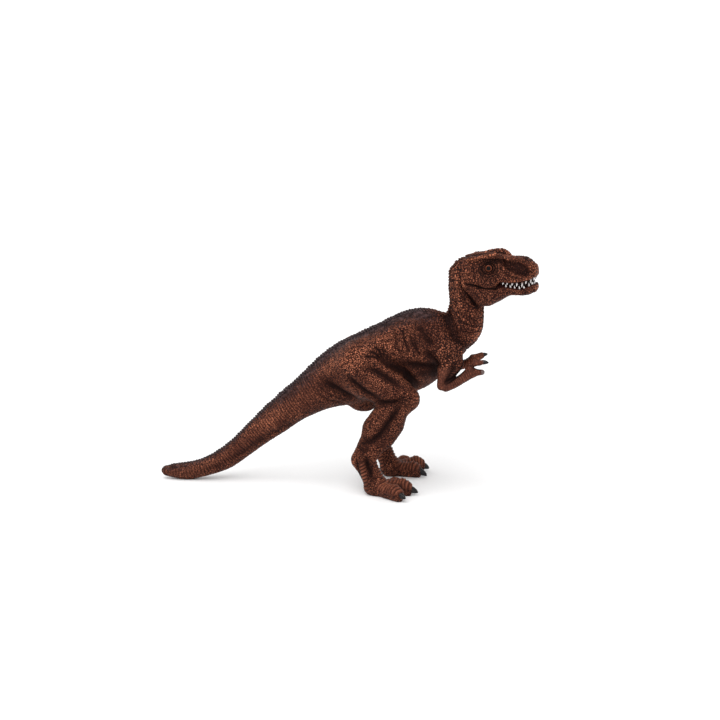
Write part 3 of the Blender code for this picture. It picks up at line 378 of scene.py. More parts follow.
skull_start = -0.061 * NECK_DEPTH
jaw_length = skull_start + SKULL_LENGTH - 0.1
SKULL_OUTLINE, JAW_OUTLINE = (0.27, 2.6), (0.66, 2.6)
SKULL = form(head_point(skull_start, 0, 0), head_point(skull_start + SKULL_LENGTH, 0, 0), SKULL_SHARES,
             SKULL_DEPTH, SKULL_HALF_WIDTH, (0.7, 1.2), HEAD_ACROSS, SKULL_OUTLINE)
JAW = form(head_point(0, 0, 0), head_point(jaw_length, 0, 0), JAW_SHARES, JAW_DEPTH, JAW_HALF_WIDTH,
           (0.7, 1.3), HEAD_ACROSS, JAW_OUTLINE)
EYE = (7.4, 4.75, 5.6)  # in the head's frame, from the middle plane outward
BROWS = []
for side in (-1, 1):
    brow_start, brow_end = (head_point(skull_start + ahead, side * out, BROW_HEIGHT)
                            for ahead, out in (BROW_BACK, BROW_FRONT))
    BROWS.append(form(brow_start, brow_end, BROW_SHARES, *BROW_SECTION, square_across(brow_start, brow_end)))
print("corner of the mouth, mm:", MOUTH.round(1))

# %% [markdown]
# ## The arms
# Each arm is two bones and two fingers. The far arm stands a little back and its forearm is held
# flatter, so it has its own table for the forearm and its own fingers.

# %% Arm forms
SHOULDER_ALONG_SHARE, SHOULDER_UP_SHARE, SHOULDER_OUT = 0.953, 0.221, 7.6
ARM_TILT, ELBOW_OUT, WRIST_IN = math.radians(4), 2.2, 1.0
Arm = namedtuple("Arm", "side shoulder elbow wrist upper fore fingers")
# Each finger's lift and splay in degrees, its root ahead of and above the wrist, its length and its thickness
NEAR_FINGERS = ((9, 4, 1.0, 2.65, 2.7, 0.85), (3, 0, 0.6, -0.3, 2.6, 1.05))
FAR_FINGERS = ((25, 4, 0.2, 0.1, 3.1, 1.2), (2, 0, 0.2, -1.4, 1.0, 0.85))


def make_arm(side, back, lift, rise, fore_shares, hand):
    """An arm's two bones and the two fingers on its hand."""
    shoulder = np.array([torso_start + TORSO_LENGTH * SHOULDER_ALONG_SHARE - back, side * SHOULDER_OUT,
                         hip_height + TORSO_DEPTH * SHOULDER_UP_SHARE + lift])
    rise = math.radians(rise)
    elbow = shoulder + (-math.sin(ARM_TILT) * UPPER_ARM_LENGTH, side * ELBOW_OUT,
                        -math.cos(ARM_TILT) * UPPER_ARM_LENGTH)
    wrist = elbow + (math.cos(rise) * FOREARM_LENGTH, -side * WRIST_IN, math.sin(rise) * FOREARM_LENGTH)
    upper = form(shoulder, elbow, UPPER_ARM_SHARES, *UPPER_ARM_SECTION, square_across(shoulder, elbow))
    fore = form(elbow, wrist, fore_shares, *FOREARM_SECTION, square_across(elbow, wrist))
    fingers = []
    for upward, splay, ahead, above, length, thick in hand:
        upward, splay = math.radians(upward), math.radians(splay)
        heading = unit([math.cos(upward), side * math.sin(splay), math.sin(upward)])
        root = wrist + (ahead, 0, above)
        shape = form(root, root + heading * length, FINGER_SHARES, thick * 1.15, thick, (0.7, 0.7),
                     square_across(root, root + heading))
        fingers.append(Toe(shape, root, heading, length))
    return Arm(side, shoulder, elbow, wrist, upper, fore, fingers)


right_arm = make_arm(-1, 0, 0, 29, FOREARM_SHARES, NEAR_FINGERS)
left_arm = make_arm(1, 1.7, 1.1, 20, FAR_FOREARM_SHARES, FAR_FINGERS)

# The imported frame's origin is the middle of its box, so the CAD boxes give the shift to it
DOME_OVER_CAD = 0.25  # how much further the skin's dome reaches than the solid's at the tail's tip
tail_tip = torso_start - SEAM_GAP - TAIL_LENGTH - TAIL_DOME
torso_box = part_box("torso")
SHIFT = np.array([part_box("tail")[0].x / MM - tail_tip - DOME_OVER_CAD,
                  (torso_box[0].y + torso_box[1].y) / 2 / MM, 0])
print("shift to the packed frame, mm:", SHIFT.round(2))

# %% [markdown]
# ## One field for each moulding
# The forms of a moulding are melted into one field. The last number of each melt says over how many
# millimetres two forms run into each other: wide at a muscle and narrow at a crease.

# %% Fields of the mouldings
def leg_field(leg, points):
    """One leg, from the thigh to the toes, melted at each joint."""
    found = melt(loft(leg.thigh, points), loft(leg.shin, points), 2.4)
    found = melt(found, loft(leg.instep, points), 1.6)
    foot = egg(*leg.pad, points)
    for toe in leg.toes:
        foot = melt(foot, loft(toe.form, points), 1.0)
    return melt(found, foot, 1.6)


def arm_field(arm, points):
    found = melt(loft(arm.upper, points), loft(arm.fore, points), 0.6)
    hand = melt(loft(arm.fingers[0].form, points), loft(arm.fingers[1].form, points), 0.3)
    return melt(found, hand, 1.3)


def trunk_field(points):
    found = melt(loft(BODY, points), loft(NECK, points), 2.0)
    return melt(found, egg(*BUMP, points), 1.5)


def skull_field(points):
    found = loft(SKULL, points)
    for brow in BROWS:
        found = melt(found, loft(brow, points), 0.8)
    return found


def jaw_field(points):
    return loft(JAW, points)


print("field at the hip:", trunk_field(np.array([[0, 0, hip_height]])).round(2))

# %% [markdown]
# ## From a field to a mesh
# A net of small cubes is laid over each moulding. Every cube that the skin passes through gets one
# point, the mean of the places where its edges cross the skin, and neighbouring cubes are joined
# by quads. The points then slide along the field's slope until they lie on the skin.

# %% Surface nets
BLOCK = 4
CORNERS = np.array([(i, j, k) for i in (0, 1) for j in (0, 1) for k in (0, 1)])
EDGES = [(a, b) for a in range(8) for b in range(a + 1, 8) if np.abs(CORNERS[a] - CORNERS[b]).sum() == 1]


def sampled(field, low, step, blocks):
    """The field on a grid. Blocks far from the skin keep the value of their middle."""
    span = step * BLOCK
    middles = np.stack(np.meshgrid(*[np.arange(n) for n in blocks], indexing="ij"), -1).reshape(-1, 3)
    coarse = field(low + (middles + 0.5) * span)
    near = np.abs(coarse) < 1.5 * span
    grid = np.repeat(np.repeat(np.repeat(coarse.reshape(blocks), BLOCK, 0), BLOCK, 1), BLOCK, 2)
    inner = np.stack(np.meshgrid(*[np.arange(BLOCK)] * 3, indexing="ij"), -1).reshape(-1, 3)
    spots = (middles[near][:, None] * BLOCK + inner).reshape(-1, 3)
    grid[tuple(spots.T)] = field(low + spots * step)
    return grid


def net(field, low, high, step):
    """Points and outward quads of the skin where the field is zero."""
    low = np.asarray(low, float)
    blocks = tuple(np.ceil((np.asarray(high) - low) / (step * BLOCK)).astype(int))
    grid = sampled(field, low, step, blocks)
    inside = grid < 0
    count = np.array(grid.shape) - 1
    total = sum(inside[i : i + count[0], j : j + count[1], k : k + count[2]].astype(np.int8)
                for i, j, k in CORNERS)
    cells = np.argwhere((total > 0) & (total < 8))
    values = np.stack([grid[tuple((cells + corner).T)] for corner in CORNERS], 1)
    place, hits = np.zeros((len(cells), 3)), np.zeros(len(cells))
    for a, b in EDGES:
        crossed = (values[:, a] < 0) != (values[:, b] < 0)
        t = values[crossed, a] / (values[crossed, a] - values[crossed, b])
        place[crossed] += CORNERS[a] + t[:, None] * (CORNERS[b] - CORNERS[a])
        hits[crossed] += 1
    points = low + (cells + place / hits[:, None]) * step
    number = np.full(tuple(count), -1)
    number[tuple(cells.T)] = np.arange(len(cells))
    quads = []
    for axis in range(3):
        u, v = (axis + 1) % 3, (axis + 2) % 3
        here = [slice(1, -1)] * 3
        here[axis] = slice(0, -1)
        there = list(here)
        there[axis] = slice(1, None)
        change = inside[tuple(here)].astype(np.int8) - inside[tuple(there)]
        at = np.argwhere(change != 0)
        turn = change[tuple(at.T)] > 0
        start = np.ones(3, int)
        start[axis] = 0
        at = at + start
        ring = []
        for du, dv in ((1, 1), (0, 1), (0, 0), (1, 0)):
            back = np.zeros(3, int)
            back[u], back[v] = du, dv
            ring.append(number[tuple((at - back).T)])
        ring = np.stack(ring, 1)
        ring[~turn] = ring[~turn][:, ::-1]
        quads.append(ring)
    return points, np.vstack(quads)


def slope(field, points, reach=0.06):
    """The field's gradient, from a small step each way along each axis."""
    return np.stack([(field(points + reach * axis) - field(points - reach * axis)) / (2 * reach)
                     for axis in np.eye(3)], 1)


def settle(field, points, rounds=2):
    """Moves points along the field's gradient until they lie on its skin."""
    for _ in range(rounds):
        lean = slope(field, points)
        push = field(points) / np.maximum((lean**2).sum(1), 0.2)
        points = points - np.clip(push, -0.15, 0.15)[:, None] * lean
    return points


# %% [markdown]
# ## Folds drawn on the side
# The folds, hollows and wrinkles of the sculpture are lines on its side view. Each is a list of
# points, a width and a depth, and it dents the skin by 1.35 times its depth times
# exp(-(distance / width)^2), fading out at both ends. A depth below zero raises a ridge. The same
# line also says how much dark wash lies in it.

# %% Folds of the legs
Fold = namedtuple("Fold", "points width depth wash")
PLATES = [(0.6, 12.6), (1.25, 8.0), (1.9, 3.1)]  # the row of plates down the instep's side
LEG_FOLDS = [
    # the deep fold in front of the thigh, and the fan of short wrinkles at its top
    Fold([(5.6, 45.2), (6.9, 43.9), (10.1, 41.8), (13.7, 39.5), (15.7, 36.9), (17.6, 34.6)], 1.05, 1.0, 0.85),
    Fold([(1.2, 44.6), (4.2, 44.6), (7.0, 43.6)], 0.42, 0.25, 1.0),
    Fold([(2.6, 46.1), (4.8, 45.6), (7.2, 43.9)], 0.42, 0.28, 1.0),
    Fold([(4.4, 47.1), (5.9, 46.2), (7.5, 44.0)], 0.42, 0.28, 1.0),
    Fold([(6.4, 47.2), (7.0, 46.1), (7.9, 44.0)], 0.4, 0.25, 0.9),
    # two soft hollows between the muscles of the thigh
    Fold([(2.0, 41.2), (5.2, 40.5), (8.4, 38.7), (12.9, 35.6)], 1.1, 0.65, 0.95),
    Fold([(-4.4, 38.5), (-3.2, 37.4), (-0.4, 35.0), (2.4, 33.1), (6.4, 31.2)], 1.05, 0.7, 1.0),
    # the crease behind the knee, and the wrinkles that fan out over its front
    Fold([(5.2, 30.0), (7.6, 30.2), (10.0, 30.6), (13.2, 31.4)], 0.8, 0.7, 1.0),
    Fold([(11.2, 31.0), (13.6, 33.0), (15.3, 34.0)], 0.28, 0.2, 0.6),
    Fold([(11.2, 30.9), (14.0, 32.4), (16.6, 33.2)], 0.28, 0.22, 0.65),
    Fold([(11.4, 30.7), (14.4, 31.7), (17.4, 32.2)], 0.28, 0.24, 0.65),
    Fold([(11.4, 30.4), (14.6, 31.0), (18.0, 31.2)], 0.28, 0.22, 0.65),
    Fold([(11.4, 30.1), (14.6, 30.2), (18.1, 30.0)], 0.28, 0.22, 0.65),
    Fold([(11.6, 29.7), (14.4, 29.2), (17.4, 28.6)], 0.28, 0.18, 0.6),
    # the long hollow between the calf and the shin bone
    Fold([(12.9, 30.2), (11.7, 28.0), (10.6, 26.0), (8.6, 23.1), (6.2, 19.7), (3.4, 17.6), (0.4, 16.2)],
         1.15, 0.75, 1.0),
    Fold([(-0.6, 15.9), (1.4, 14.9), (3.4, 14.9)], 0.7, 0.3, 0.5),
    # the grooves on both sides of the instep's plates
    Fold([(2.0, 12.6), (2.7, 10.4), (3.3, 8.0), (4.1, 5.4)], 0.85, 0.6, 1.0),
    Fold([(-0.8, 12.4), (-0.3, 8.2), (0.5, 4.4)], 0.4, 0.2, 0.8),
]
HIP_FOLDS = LEG_FOLDS[:7]  # those that run on over the side of the body

# %% Folds of the body
BODY_FOLDS = [
    # the fold at the root of the tail, with two ripples under it
    Fold([(-12.6, 35.6), (-11.2, 34.3), (-8.2, 32.9), (-4.9, 30.8), (-1.2, 29.3)], 1.2, 0.8, 1.0),
    Fold([(-14.6, 34.8), (-12.4, 31.8), (-8.8, 30.0), (-5.0, 28.9)], 0.4, 0.2, 0.6),
    Fold([(-13.2, 35.4), (-11.4, 33.0), (-8.0, 31.2), (-4.4, 29.6)], 0.4, 0.2, 0.6),
    Fold([(-16.2, 34.0), (-14.0, 30.4), (-10.2, 28.5), (-6.0, 27.9)], 0.4, 0.18, 0.5),
    # ribs, and the thin wrinkles between them
    Fold([(12.6, 52.4), (13.3, 49.5), (15.0, 45.6)], 0.38, 0.25, 0.9),
    Fold([(15.2, 51.0), (15.9, 48.5), (17.4, 46.0)], 0.38, 0.22, 0.85),
    Fold([(16.6, 49.8), (17.2, 47.2), (18.6, 44.2)], 0.38, 0.25, 0.9),
    Fold([(10.2, 52.0), (10.8, 48.8), (12.4, 44.6)], 0.42, 0.18, 0.6),
    # the hollows round the shoulder blade and behind the elbow
    Fold([(17.6, 54.0), (18.9, 52.2), (20.4, 50.2), (22.2, 47.6)], 1.2, 0.6, 0.8),
    Fold([(20.0, 46.4), (20.9, 45.2), (22.4, 43.6), (24.2, 41.2)], 1.3, 0.6, 0.9),
    Fold([(12.6, 41.5), (15.6, 41.6), (18.6, 41.2), (22.0, 40.6), (25.4, 39.4)], 1.35, 0.85, 1.0),
    Fold([(17.0, 38.6), (20.4, 38.9), (24.6, 37.6)], 1.5, 0.0, 0.75),
    # the valley between the shoulder and the neck
    Fold([(24.2, 58.9), (25.6, 57.0), (26.9, 54.4), (28.4, 51.4), (30.4, 48.6), (32.2, 46.8)],
         1.3, 0.9, 0.75),
    # stretched skin on the neck, and the crease under the jaw
    Fold([(30.6, 68.0), (31.4, 66.2), (32.6, 64.4), (33.8, 62.9), (35.0, 61.5), (37.0, 59.6)],
         1.25, 0.7, 0.95),
    Fold([(29.2, 66.5), (30.4, 63.6), (31.9, 61.2), (33.9, 59.4), (36.6, 58.2)], 0.35, 0.2, 0.5),
    Fold([(27.0, 62.8), (28.6, 59.4), (31.4, 56.6), (35.2, 55.2)], 0.45, 0.2, 0.3),
    Fold([(27.4, 58.8), (29.6, 55.8), (32.6, 54.0), (36.0, 53.6)], 0.45, 0.2, 0.3),
    Fold([(30.2, 53.4), (33.0, 51.6), (35.8, 51.6)], 0.45, 0.18, 0.3),
    # the groove low on the side of the tail
    Fold([(-54.0, 3.2), (-48.3, 4.7), (-39.9, 9.2), (-32.8, 14.5), (-27.5, 17.7), (-21.0, 21.2)],
         0.9, 0.22, 0.4),
    # the inside of the elbow
    Fold([(25.6, 42.6), (25.0, 40.4), (24.2, 37.6)], 0.8, 0.35, 0.9),
    Fold([(24.0, 44.0), (23.6, 41.0)], 0.8, 0.3, 0.6),
]
TAIL_ROOT_FOLDS, SHOULDER_FOLDS = BODY_FOLDS[:4], BODY_FOLDS[8:12]  # those that run on over a limb
ARM_FOLDS = [Fold([(26.4, 36.0), (27.5, 37.9), (28.7, 40.2), (29.4, 42.6)], 0.85, 0.4, 0.9)]
NECK_RIDGES = [
    # cords of skin that the copper brush caught
    Fold([(28.2, 70.4), (28.9, 66.8), (29.6, 64.4), (29.4, 62.7), (29.9, 60.9), (30.7, 58.6)],
         0.55, -0.22, 0.0),
    Fold([(29.9, 66.4), (30.9, 63.2), (33.0, 60.6), (35.2, 59.4)], 0.35, -0.15, 0.0),
    Fold([(29.6, 57.2), (30.8, 55.6), (32.2, 54.7), (34.2, 53.8)], 0.4, -0.18, 0.0),
    Fold([(28.9, 59.9), (31.2, 58.0), (34.0, 57.0), (37.0, 56.6)], 0.4, -0.15, 0.0),
    Fold([(32.4, 50.2), (34.6, 51.0), (36.4, 52.6)], 0.45, -0.15, 0.0),
]

# %% Folds of the head, in its own frame
HEAD_FOLDS = [
    # the line of the mouth, and the corner's bump
    Fold([(0.3, 0.4), (2.8, 0.2), (4.8, -0.4), (6.8, -0.9), (9.4, -0.8), (11.9, 0.1)], 0.24, 0.2, 1.0),
    # the hollow that leads from the brow to the muzzle's pit
    Fold([(9.0, 8.8), (11.1, 7.8), (13.4, 6.8)], 1.1, 0.25, 0.45),
    # nostril
    Fold([(17.4, 7.6), (18.0, 7.9), (18.6, 7.7)], 0.3, 0.25, 0.35),
    # skin over the cheek
    Fold([(2.6, 7.4), (2.9, 5.0), (3.4, 2.6)], 0.4, 0.12, 0.35),
    Fold([(10.4, 7.6), (11.6, 5.2), (13.6, 3.4), (16.6, 2.6)], 0.4, 0.14, 0.3),
]
HEAD_RIDGES = [
    # the ridge over the eye and the muzzle, and the one down the skull's rear edge
    Fold([(-0.6, 7.8), (2.6, 8.4), (6.1, 9.3), (9.7, 9.9), (12.6, 9.0), (15.5, 7.9), (18.5, 8.0)],
         0.5, -0.3, 0.0),
    Fold([(0.7, 8.2), (0.9, 5.5), (0.6, 2.7), (-0.5, 0.5)], 0.45, -0.3, 0.0),
    # the bump at the mouth's corner, the jaw's rear edge, and the lip over the closed mouth
    Fold([(-0.3, 0.9), (-0.4, 0.3), (-0.2, -0.6)], 0.6, -0.3, 0.0),
    Fold([(-0.3, -0.3), (1.7, -2.8), (4.2, -5.0), (6.8, -6.4)], 0.45, -0.15, 0.0),
    Fold([(0.6, 1.1), (2.8, 0.9), (4.8, 0.3), (6.8, -0.2), (9.4, -0.1), (11.3, 1.2)], 0.3, -0.1, 0.0),
    Fold([(11.3, 1.4), (15.2, 1.6), (18.4, 2.3), (21.0, 3.3)], 0.45, -0.2, 0.0),
    Fold([(11.6, -0.6), (15.7, -1.0), (18.9, -0.6), (21.6, 0.6)], 0.4, -0.15, 0.0),
]
print("folds of legs, body and head:", len(LEG_FOLDS), len(BODY_FOLDS), len(HEAD_FOLDS))


# %% From lines to dents
FOLD_GAIN = 1.35


def line_distance(line, spots):
    """Distance of spots to a line of points, and how far along the line each one's nearest place is."""
    line = np.asarray(line, float)
    runs = np.diff(line, axis=0)
    lengths = np.linalg.norm(runs, axis=1)
    starts = np.concatenate([[0], np.cumsum(lengths)])
    best, along = np.full(len(spots), 1e9), np.zeros(len(spots))
    for start, run, length, before in zip(line, runs, lengths, starts):
        t = np.clip((spots - start) @ run / length**2, 0, 1)
        gap = np.linalg.norm(spots - start - t[:, None] * run, axis=1)
        closer = gap < best
        best[closer], along[closer] = gap[closer], (before + t[closer] * length) / starts[-1]
    return best, along


def fold_marks(folds, spots):
    """Total dent in millimetres, and the wash from 0 to 1, of all the folds."""
    dent, wash = np.zeros(len(spots)), np.zeros(len(spots))
    for fold in folds:
        low, high = np.min(fold.points, 0) - 3 * fold.width, np.max(fold.points, 0) + 3 * fold.width
        close = np.flatnonzero(((spots > low) & (spots < high)).all(1))
        if len(close) == 0:
            continue
        gap, along = line_distance(fold.points, spots[close])
        fade = np.clip(5 * along * (1 - along), 0, 1) ** 0.7
        mark = np.exp(-((gap / fold.width) ** 2)) * (0.25 + 0.75 * fade)
        dent[close] += FOLD_GAIN * mark * fold.depth
        wash[close] = np.maximum(wash[close], mark * fold.wash)
    return dent, wash


def ramp(value, low, high):
    """A smooth step from 0 at low to 1 at high."""
    t = np.clip((value - low) / (high - low), 0, 1)
    return t * t * (3 - 2 * t)


def lattice(cells):
    """A repeatable random number from 0 to 1 for each whole-number cell."""
    cells = cells.astype(np.int64)
    mixed = (cells[:, 0] * 73856093) ^ (cells[:, 1] * 19349663) ^ (cells[:, 2] * 83492791)
    return ((mixed * 1103515245 + 12345) % 2147483648) / 2147483648


def lumps(points, size):
    """Smooth noise from -1 to 1 with lumps of this size."""
    grid = points / size
    base = np.floor(grid)
    t = grid - base
    t = t * t * (3 - 2 * t)
    total = np.zeros(len(points))
    for corner in CORNERS:
        weight = np.where(corner, t, 1 - t).prod(1)
        total += weight * lattice(base + corner)
    return 2 * total - 1


# %% [markdown]
# ## Pebbles in the skin
# The casting's skin is covered with round pebbles. Space is cut in cells with one scattered middle
# each. A point's pebble is the one whose middle is nearest, and its height is the gap between the
# nearest and the second nearest middle, so that it falls to a groove along the border.

# %% Pebbles
def pebbles(points, pitch):
    """Height from 0 in the grooves to 1 on top."""
    grid = points / pitch
    base = np.floor(grid)
    first, second = np.full(len(points), 9.0), np.full(len(points), 9.0)
    for step in np.stack(np.meshgrid(*[(-1, 0, 1)] * 3, indexing="ij"), -1).reshape(-1, 3):
        cell = base + step
        drawn = lattice(cell)
        others = (lattice(cell + (57, 0, 0)), lattice(cell + (0, 91, 0)))
        middle = cell + 0.1 + 0.8 * np.column_stack([drawn, *others])
        gap = np.linalg.norm(grid - middle, axis=1)
        second = np.where(gap < first, first, np.minimum(second, gap))
        first = np.minimum(first, gap)
    return ramp(second - first, 0.02, 0.42)


PEBBLE_PITCH, PEBBLE_MIDDLE = 0.85, 0.6
print("height of three pebbles:", pebbles(np.eye(3), PEBBLE_PITCH).round(2))

# %% [markdown]
# ## Marks that repeat
# On top of the folds come the repeated marks: rings round the tail, plates down the instep and
# rings over the toes. Each is a wave of the distance along its own bone. Soft oval patches say
# where the copper brush left more paint, and where painted shade holds the copper back.

# %% Waves and patches
TAIL_RING_PITCH, SCALE_PLATE_PITCH = 0.92, 1.05
PAINTED_SHADE_DEPTH = 0.5
tail_x = np.linspace(body_rows[0, 0] - 2, 8, 200)
tail_middle = rows_at(body_rows, np.clip(tail_x, body_rows[0, 0], None))[:, :2].mean(1)
tail_slope = np.gradient(tail_middle, tail_x)
tail_run = np.concatenate([[0], np.cumsum(np.hypot(np.diff(tail_x), np.diff(tail_middle)))])


def wave(distance, pitch):
    """Ridges one pitch apart: the cosine of the distance, -1 in the groove and 1 on the ridge."""
    return np.cos(2 * np.pi * distance / pitch)


def blot(spots, centre, size, lean=0.0):
    """A soft oval patch, 1 in its middle: exp(-u^2 - v^2) of its two half sizes. Lean is in degrees."""
    lean = math.radians(lean)
    offset = spots - centre
    u = offset @ (math.cos(lean), math.sin(lean)) / size[0]
    v = offset @ (-math.sin(lean), math.cos(lean)) / size[1]
    return np.exp(-(u**2) - v**2)


WARM_AREAS = (
    ((27.0, 68.5), (2.2, 4.0), 0), ((-2.6, 8.6), (1.6, 4.0), 0),
    ((-11.0, 39.8), (5.5, 1.8), 38), ((-3.0, 43.0), (6.0, 2.2), 30), ((6.0, 47.4), (5.5, 2.6), 15),
    ((28.4, 62.0), (1.8, 6.0), 8), ((35.5, 51.0), (1.8, 5.0), 10),
    ((-30.0, 21.5), (9.0, 2.0), 38), ((-52.0, 6.0), (7.0, 1.6), 12), ((2.9, 21.4), (0.9, 2.2), 10),
    ((16.2, 31.6), (2.0, 2.6), 0), ((6.0, 37.0), (5.0, 1.5), -35), ((-2.0, 41.5), (4.5, 2.0), 30),
    ((12.6, 38.0), (3.5, 0.9), -45), ((26.0, 49.5), (2.2, 2.6), 20),
    ((1.0, 6.9), (1.3, 2.6), 0), ((15.2, 30.2), (1.8, 1.8), 0),
)
# patches of painted shade: behind the thigh's fold, at the foot of the neck and on the hip
PAINTED_SHADE_AREAS = (((7.3, 34.3), (3.6, 2.6), -30), ((32.8, 54.0), (2.4, 3.0), 0), ((-6.5, 40.0), (3.5, 1.6), 35))


def warm_at(spots):
    """How much copper the brush left in each place of the side view, less the patches of painted shade."""
    warm = sum(blot(spots, centre, size, lean) for centre, size, lean in WARM_AREAS)
    return warm - PAINTED_SHADE_DEPTH * sum(blot(spots, centre, size, lean) for centre, size, lean in PAINTED_SHADE_AREAS)


def coarse_at(points):
    """Where the pebbles are large: on the shoulders, the neck and the upper arms."""
    return ramp(points[:, 0] + 0.25 * (points[:, 2] - 50), 17.0, 22.0)


def outward_at(normals, side):
    """1 where the skin faces outward on this side, and 0 where it faces ahead, back or inward."""
    return ramp(normals[:, 1] * side, 0.05, 0.4)


WARM_RANGE = (-0.3, 1)
print("length of the tail's middle line, mm:", round(float(tail_run[-1]), 1))

# %% [markdown]
# ## Relief of the trunk
# A relief gives two things for every point of a skin: how far it is pushed along its normal, and
# the paint masks there. The tail has rings on its sides, the back has a comb of raised rows, and
# the pebbles are coarser towards the neck.

# %% Trunk relief
LEFT_HIP_SHIFT = (2.2, 0.8)  # the left hip stands this far back and down


def body_relief(points, normals):
    """Push along the normal in millimetres, and paint masks, for the torso, neck and tail."""
    side = np.where(points[:, 1] < 0, -1, 1)
    outward = outward_at(normals, side)
    spots = points[:, (0, 2)]
    dent, wash = fold_marks(BODY_FOLDS, spots)
    leg_dent, leg_wash = fold_marks(HIP_FOLDS, spots + np.where(side > 0, 1, 0)[:, None] * LEFT_HIP_SHIFT)
    ridge, _ = fold_marks(NECK_RIDGES, spots)
    raised = np.clip(-ridge / 0.2, 0, 1) * outward
    dent, wash = dent + leg_dent + ridge, np.maximum(wash, leg_wash)
    # rings on the sides of the tail, square to its middle line
    middle = np.interp(points[:, 0], tail_x, tail_middle)
    lean = np.interp(points[:, 0], tail_x, tail_slope)
    run = np.interp(points[:, 0], tail_x, tail_run) + (points[:, 2] - middle) * lean / np.hypot(1, lean)
    low, high = rows_at(body_rows, np.clip(points[:, 0], body_rows[0, 0], body_rows[-1, 0]))[:, :2].T
    height = (points[:, 2] - low) / (high - low)
    rings = wave(run + 0.3 * lumps(points, 2.4), TAIL_RING_PITCH)
    ringed = (1 - ramp(points[:, 0], -18, -7)) * ramp(height, 0.12, 0.35) * (1 - ramp(height, 0.68, 0.9))
    push = -dent * outward + 0.085 * rings * ringed
    # the slate band along the back, with its comb of rows
    upward = normals[:, 2] - normals[:, 0] * ramp(points[:, 0], 18, 26)
    sway = rows_at(body_rows, np.clip(points[:, 0], body_rows[0, 0], 8))[:, 3]
    reach = 7.6 - 4.4 * ramp(-points[:, 0], 10, 45)
    back = ramp(upward, -0.02, 0.42) * (1 - ramp(np.abs(points[:, 1] - sway), 0.4 * reach, reach))
    on_back = 1 - 0.92 * ramp(points[:, 0], 18.5, 25.0)
    comb = wave(run + 0.3 * lumps(points, 2.0), TAIL_RING_PITCH) * back * on_back * ramp(points[:, 2], 6, 12)
    # pebbles everywhere, weaker between the rings
    coarse = coarse_at(points)
    beaded = (0.09 + 0.19 * coarse) * (1 - 0.75 * ringed) * (pebbles(points, PEBBLE_PITCH) - PEBBLE_MIDDLE)
    push = push - 0.22 * back * ramp(points[:, 0], -45, -20) + 0.12 * comb + beaded
    back = back * on_back * (1 - 0.35 * ramp(-points[:, 0], 18, 40))
    # faces turned ahead at the front of the chest get extra copper as a painted highlight
    warm = warm_at(spots) + 0.4 * raised + 0.3 * ramp(normals[:, 0], 0.35, 0.9) * ramp(points[:, 0], 24, 30)
    # faces turned down under the chest get a paler tone: painted light bounced up from the floor
    belly_bounce = ramp(-normals[:, 2], 0.2, 0.75) * ramp(points[:, 0], 4, 9)
    ring = 0.65 * rings * ringed + 0.8 * comb + 0.5 * raised
    return push, dict(wash=wash * outward, ring=ring, warm=np.clip(warm, *WARM_RANGE), back=back, belly_bounce=belly_bounce,
                      coarse=coarse, grain=1 - 0.4 * ringed)


# %% [markdown]
# ## Relief of the legs
# The folds are drawn on the near leg only. A point of the far leg is carried over to it, bone by
# bone, so the same drawing serves both legs though they are bent differently. Over the toes the
# rings bow forward in the middle, as scales do on a bird's foot.

# %% Leg relief
def as_right_leg(leg, points):
    """Side-view places of a leg's points, carried over to the right leg, on which the folds are drawn."""
    if leg is right_leg:
        return points[:, (0, 2)]
    bones = ((0, 1, leg.thigh), (1, 2, leg.shin), (2, 3, leg.instep))
    gaps = [np.clip(loft(shape, points), -1, FAR) for _, _, shape in bones]
    weights = np.stack([np.exp(-gap / 0.8) for gap in gaps], 1) + 1e-9
    weights /= weights.sum(1, keepdims=True)
    spots = np.zeros((len(points), 2))
    for (a, b, _), weight in zip(bones, weights.T):
        mine = (leg.joints[b] - leg.joints[a])[[0, 2]]
        theirs = (right_leg.joints[b] - right_leg.joints[a])[[0, 2]]
        turn = math.atan2(theirs[1], theirs[0]) - math.atan2(mine[1], mine[0])
        offset = points[:, (0, 2)] - leg.joints[a][[0, 2]]
        across, upward = (math.cos(turn), -math.sin(turn)), (math.sin(turn), math.cos(turn))
        turned = np.column_stack([offset @ across, offset @ upward])
        spots += weight[:, None] * (right_leg.joints[a][[0, 2]] + turned)
    return spots


def toe_rings(leg, points):
    """Rings over the toes, their push, and where they lie. The nearest toe's hold at each point."""
    ring, ring_push, banded = np.zeros((3, len(points)))
    closest = np.full(len(points), 1e9)
    for toe in leg.toes:
        away = loft(toe.form, points)
        run = (points - toe.start) @ toe.heading
        bowed = run + 0.35 * ((points - toe.start) @ np.cross(Z_AXIS, toe.heading)) ** 2 / 2.2
        zone = ramp(run, 2.0, 3.6) * ramp(points[:, 2], 1.6, 3.0) * (away < 0.6)
        mine = wave(bowed + 0.2 * lumps(points, 1.7), SCALE_PLATE_PITCH) * zone
        nearer = away < closest
        ring[nearer], ring_push[nearer] = 0.8 * mine[nearer], 0.13 * mine[nearer]
        banded[nearer], closest[nearer] = zone[nearer], away[nearer]
    return ring, ring_push, banded


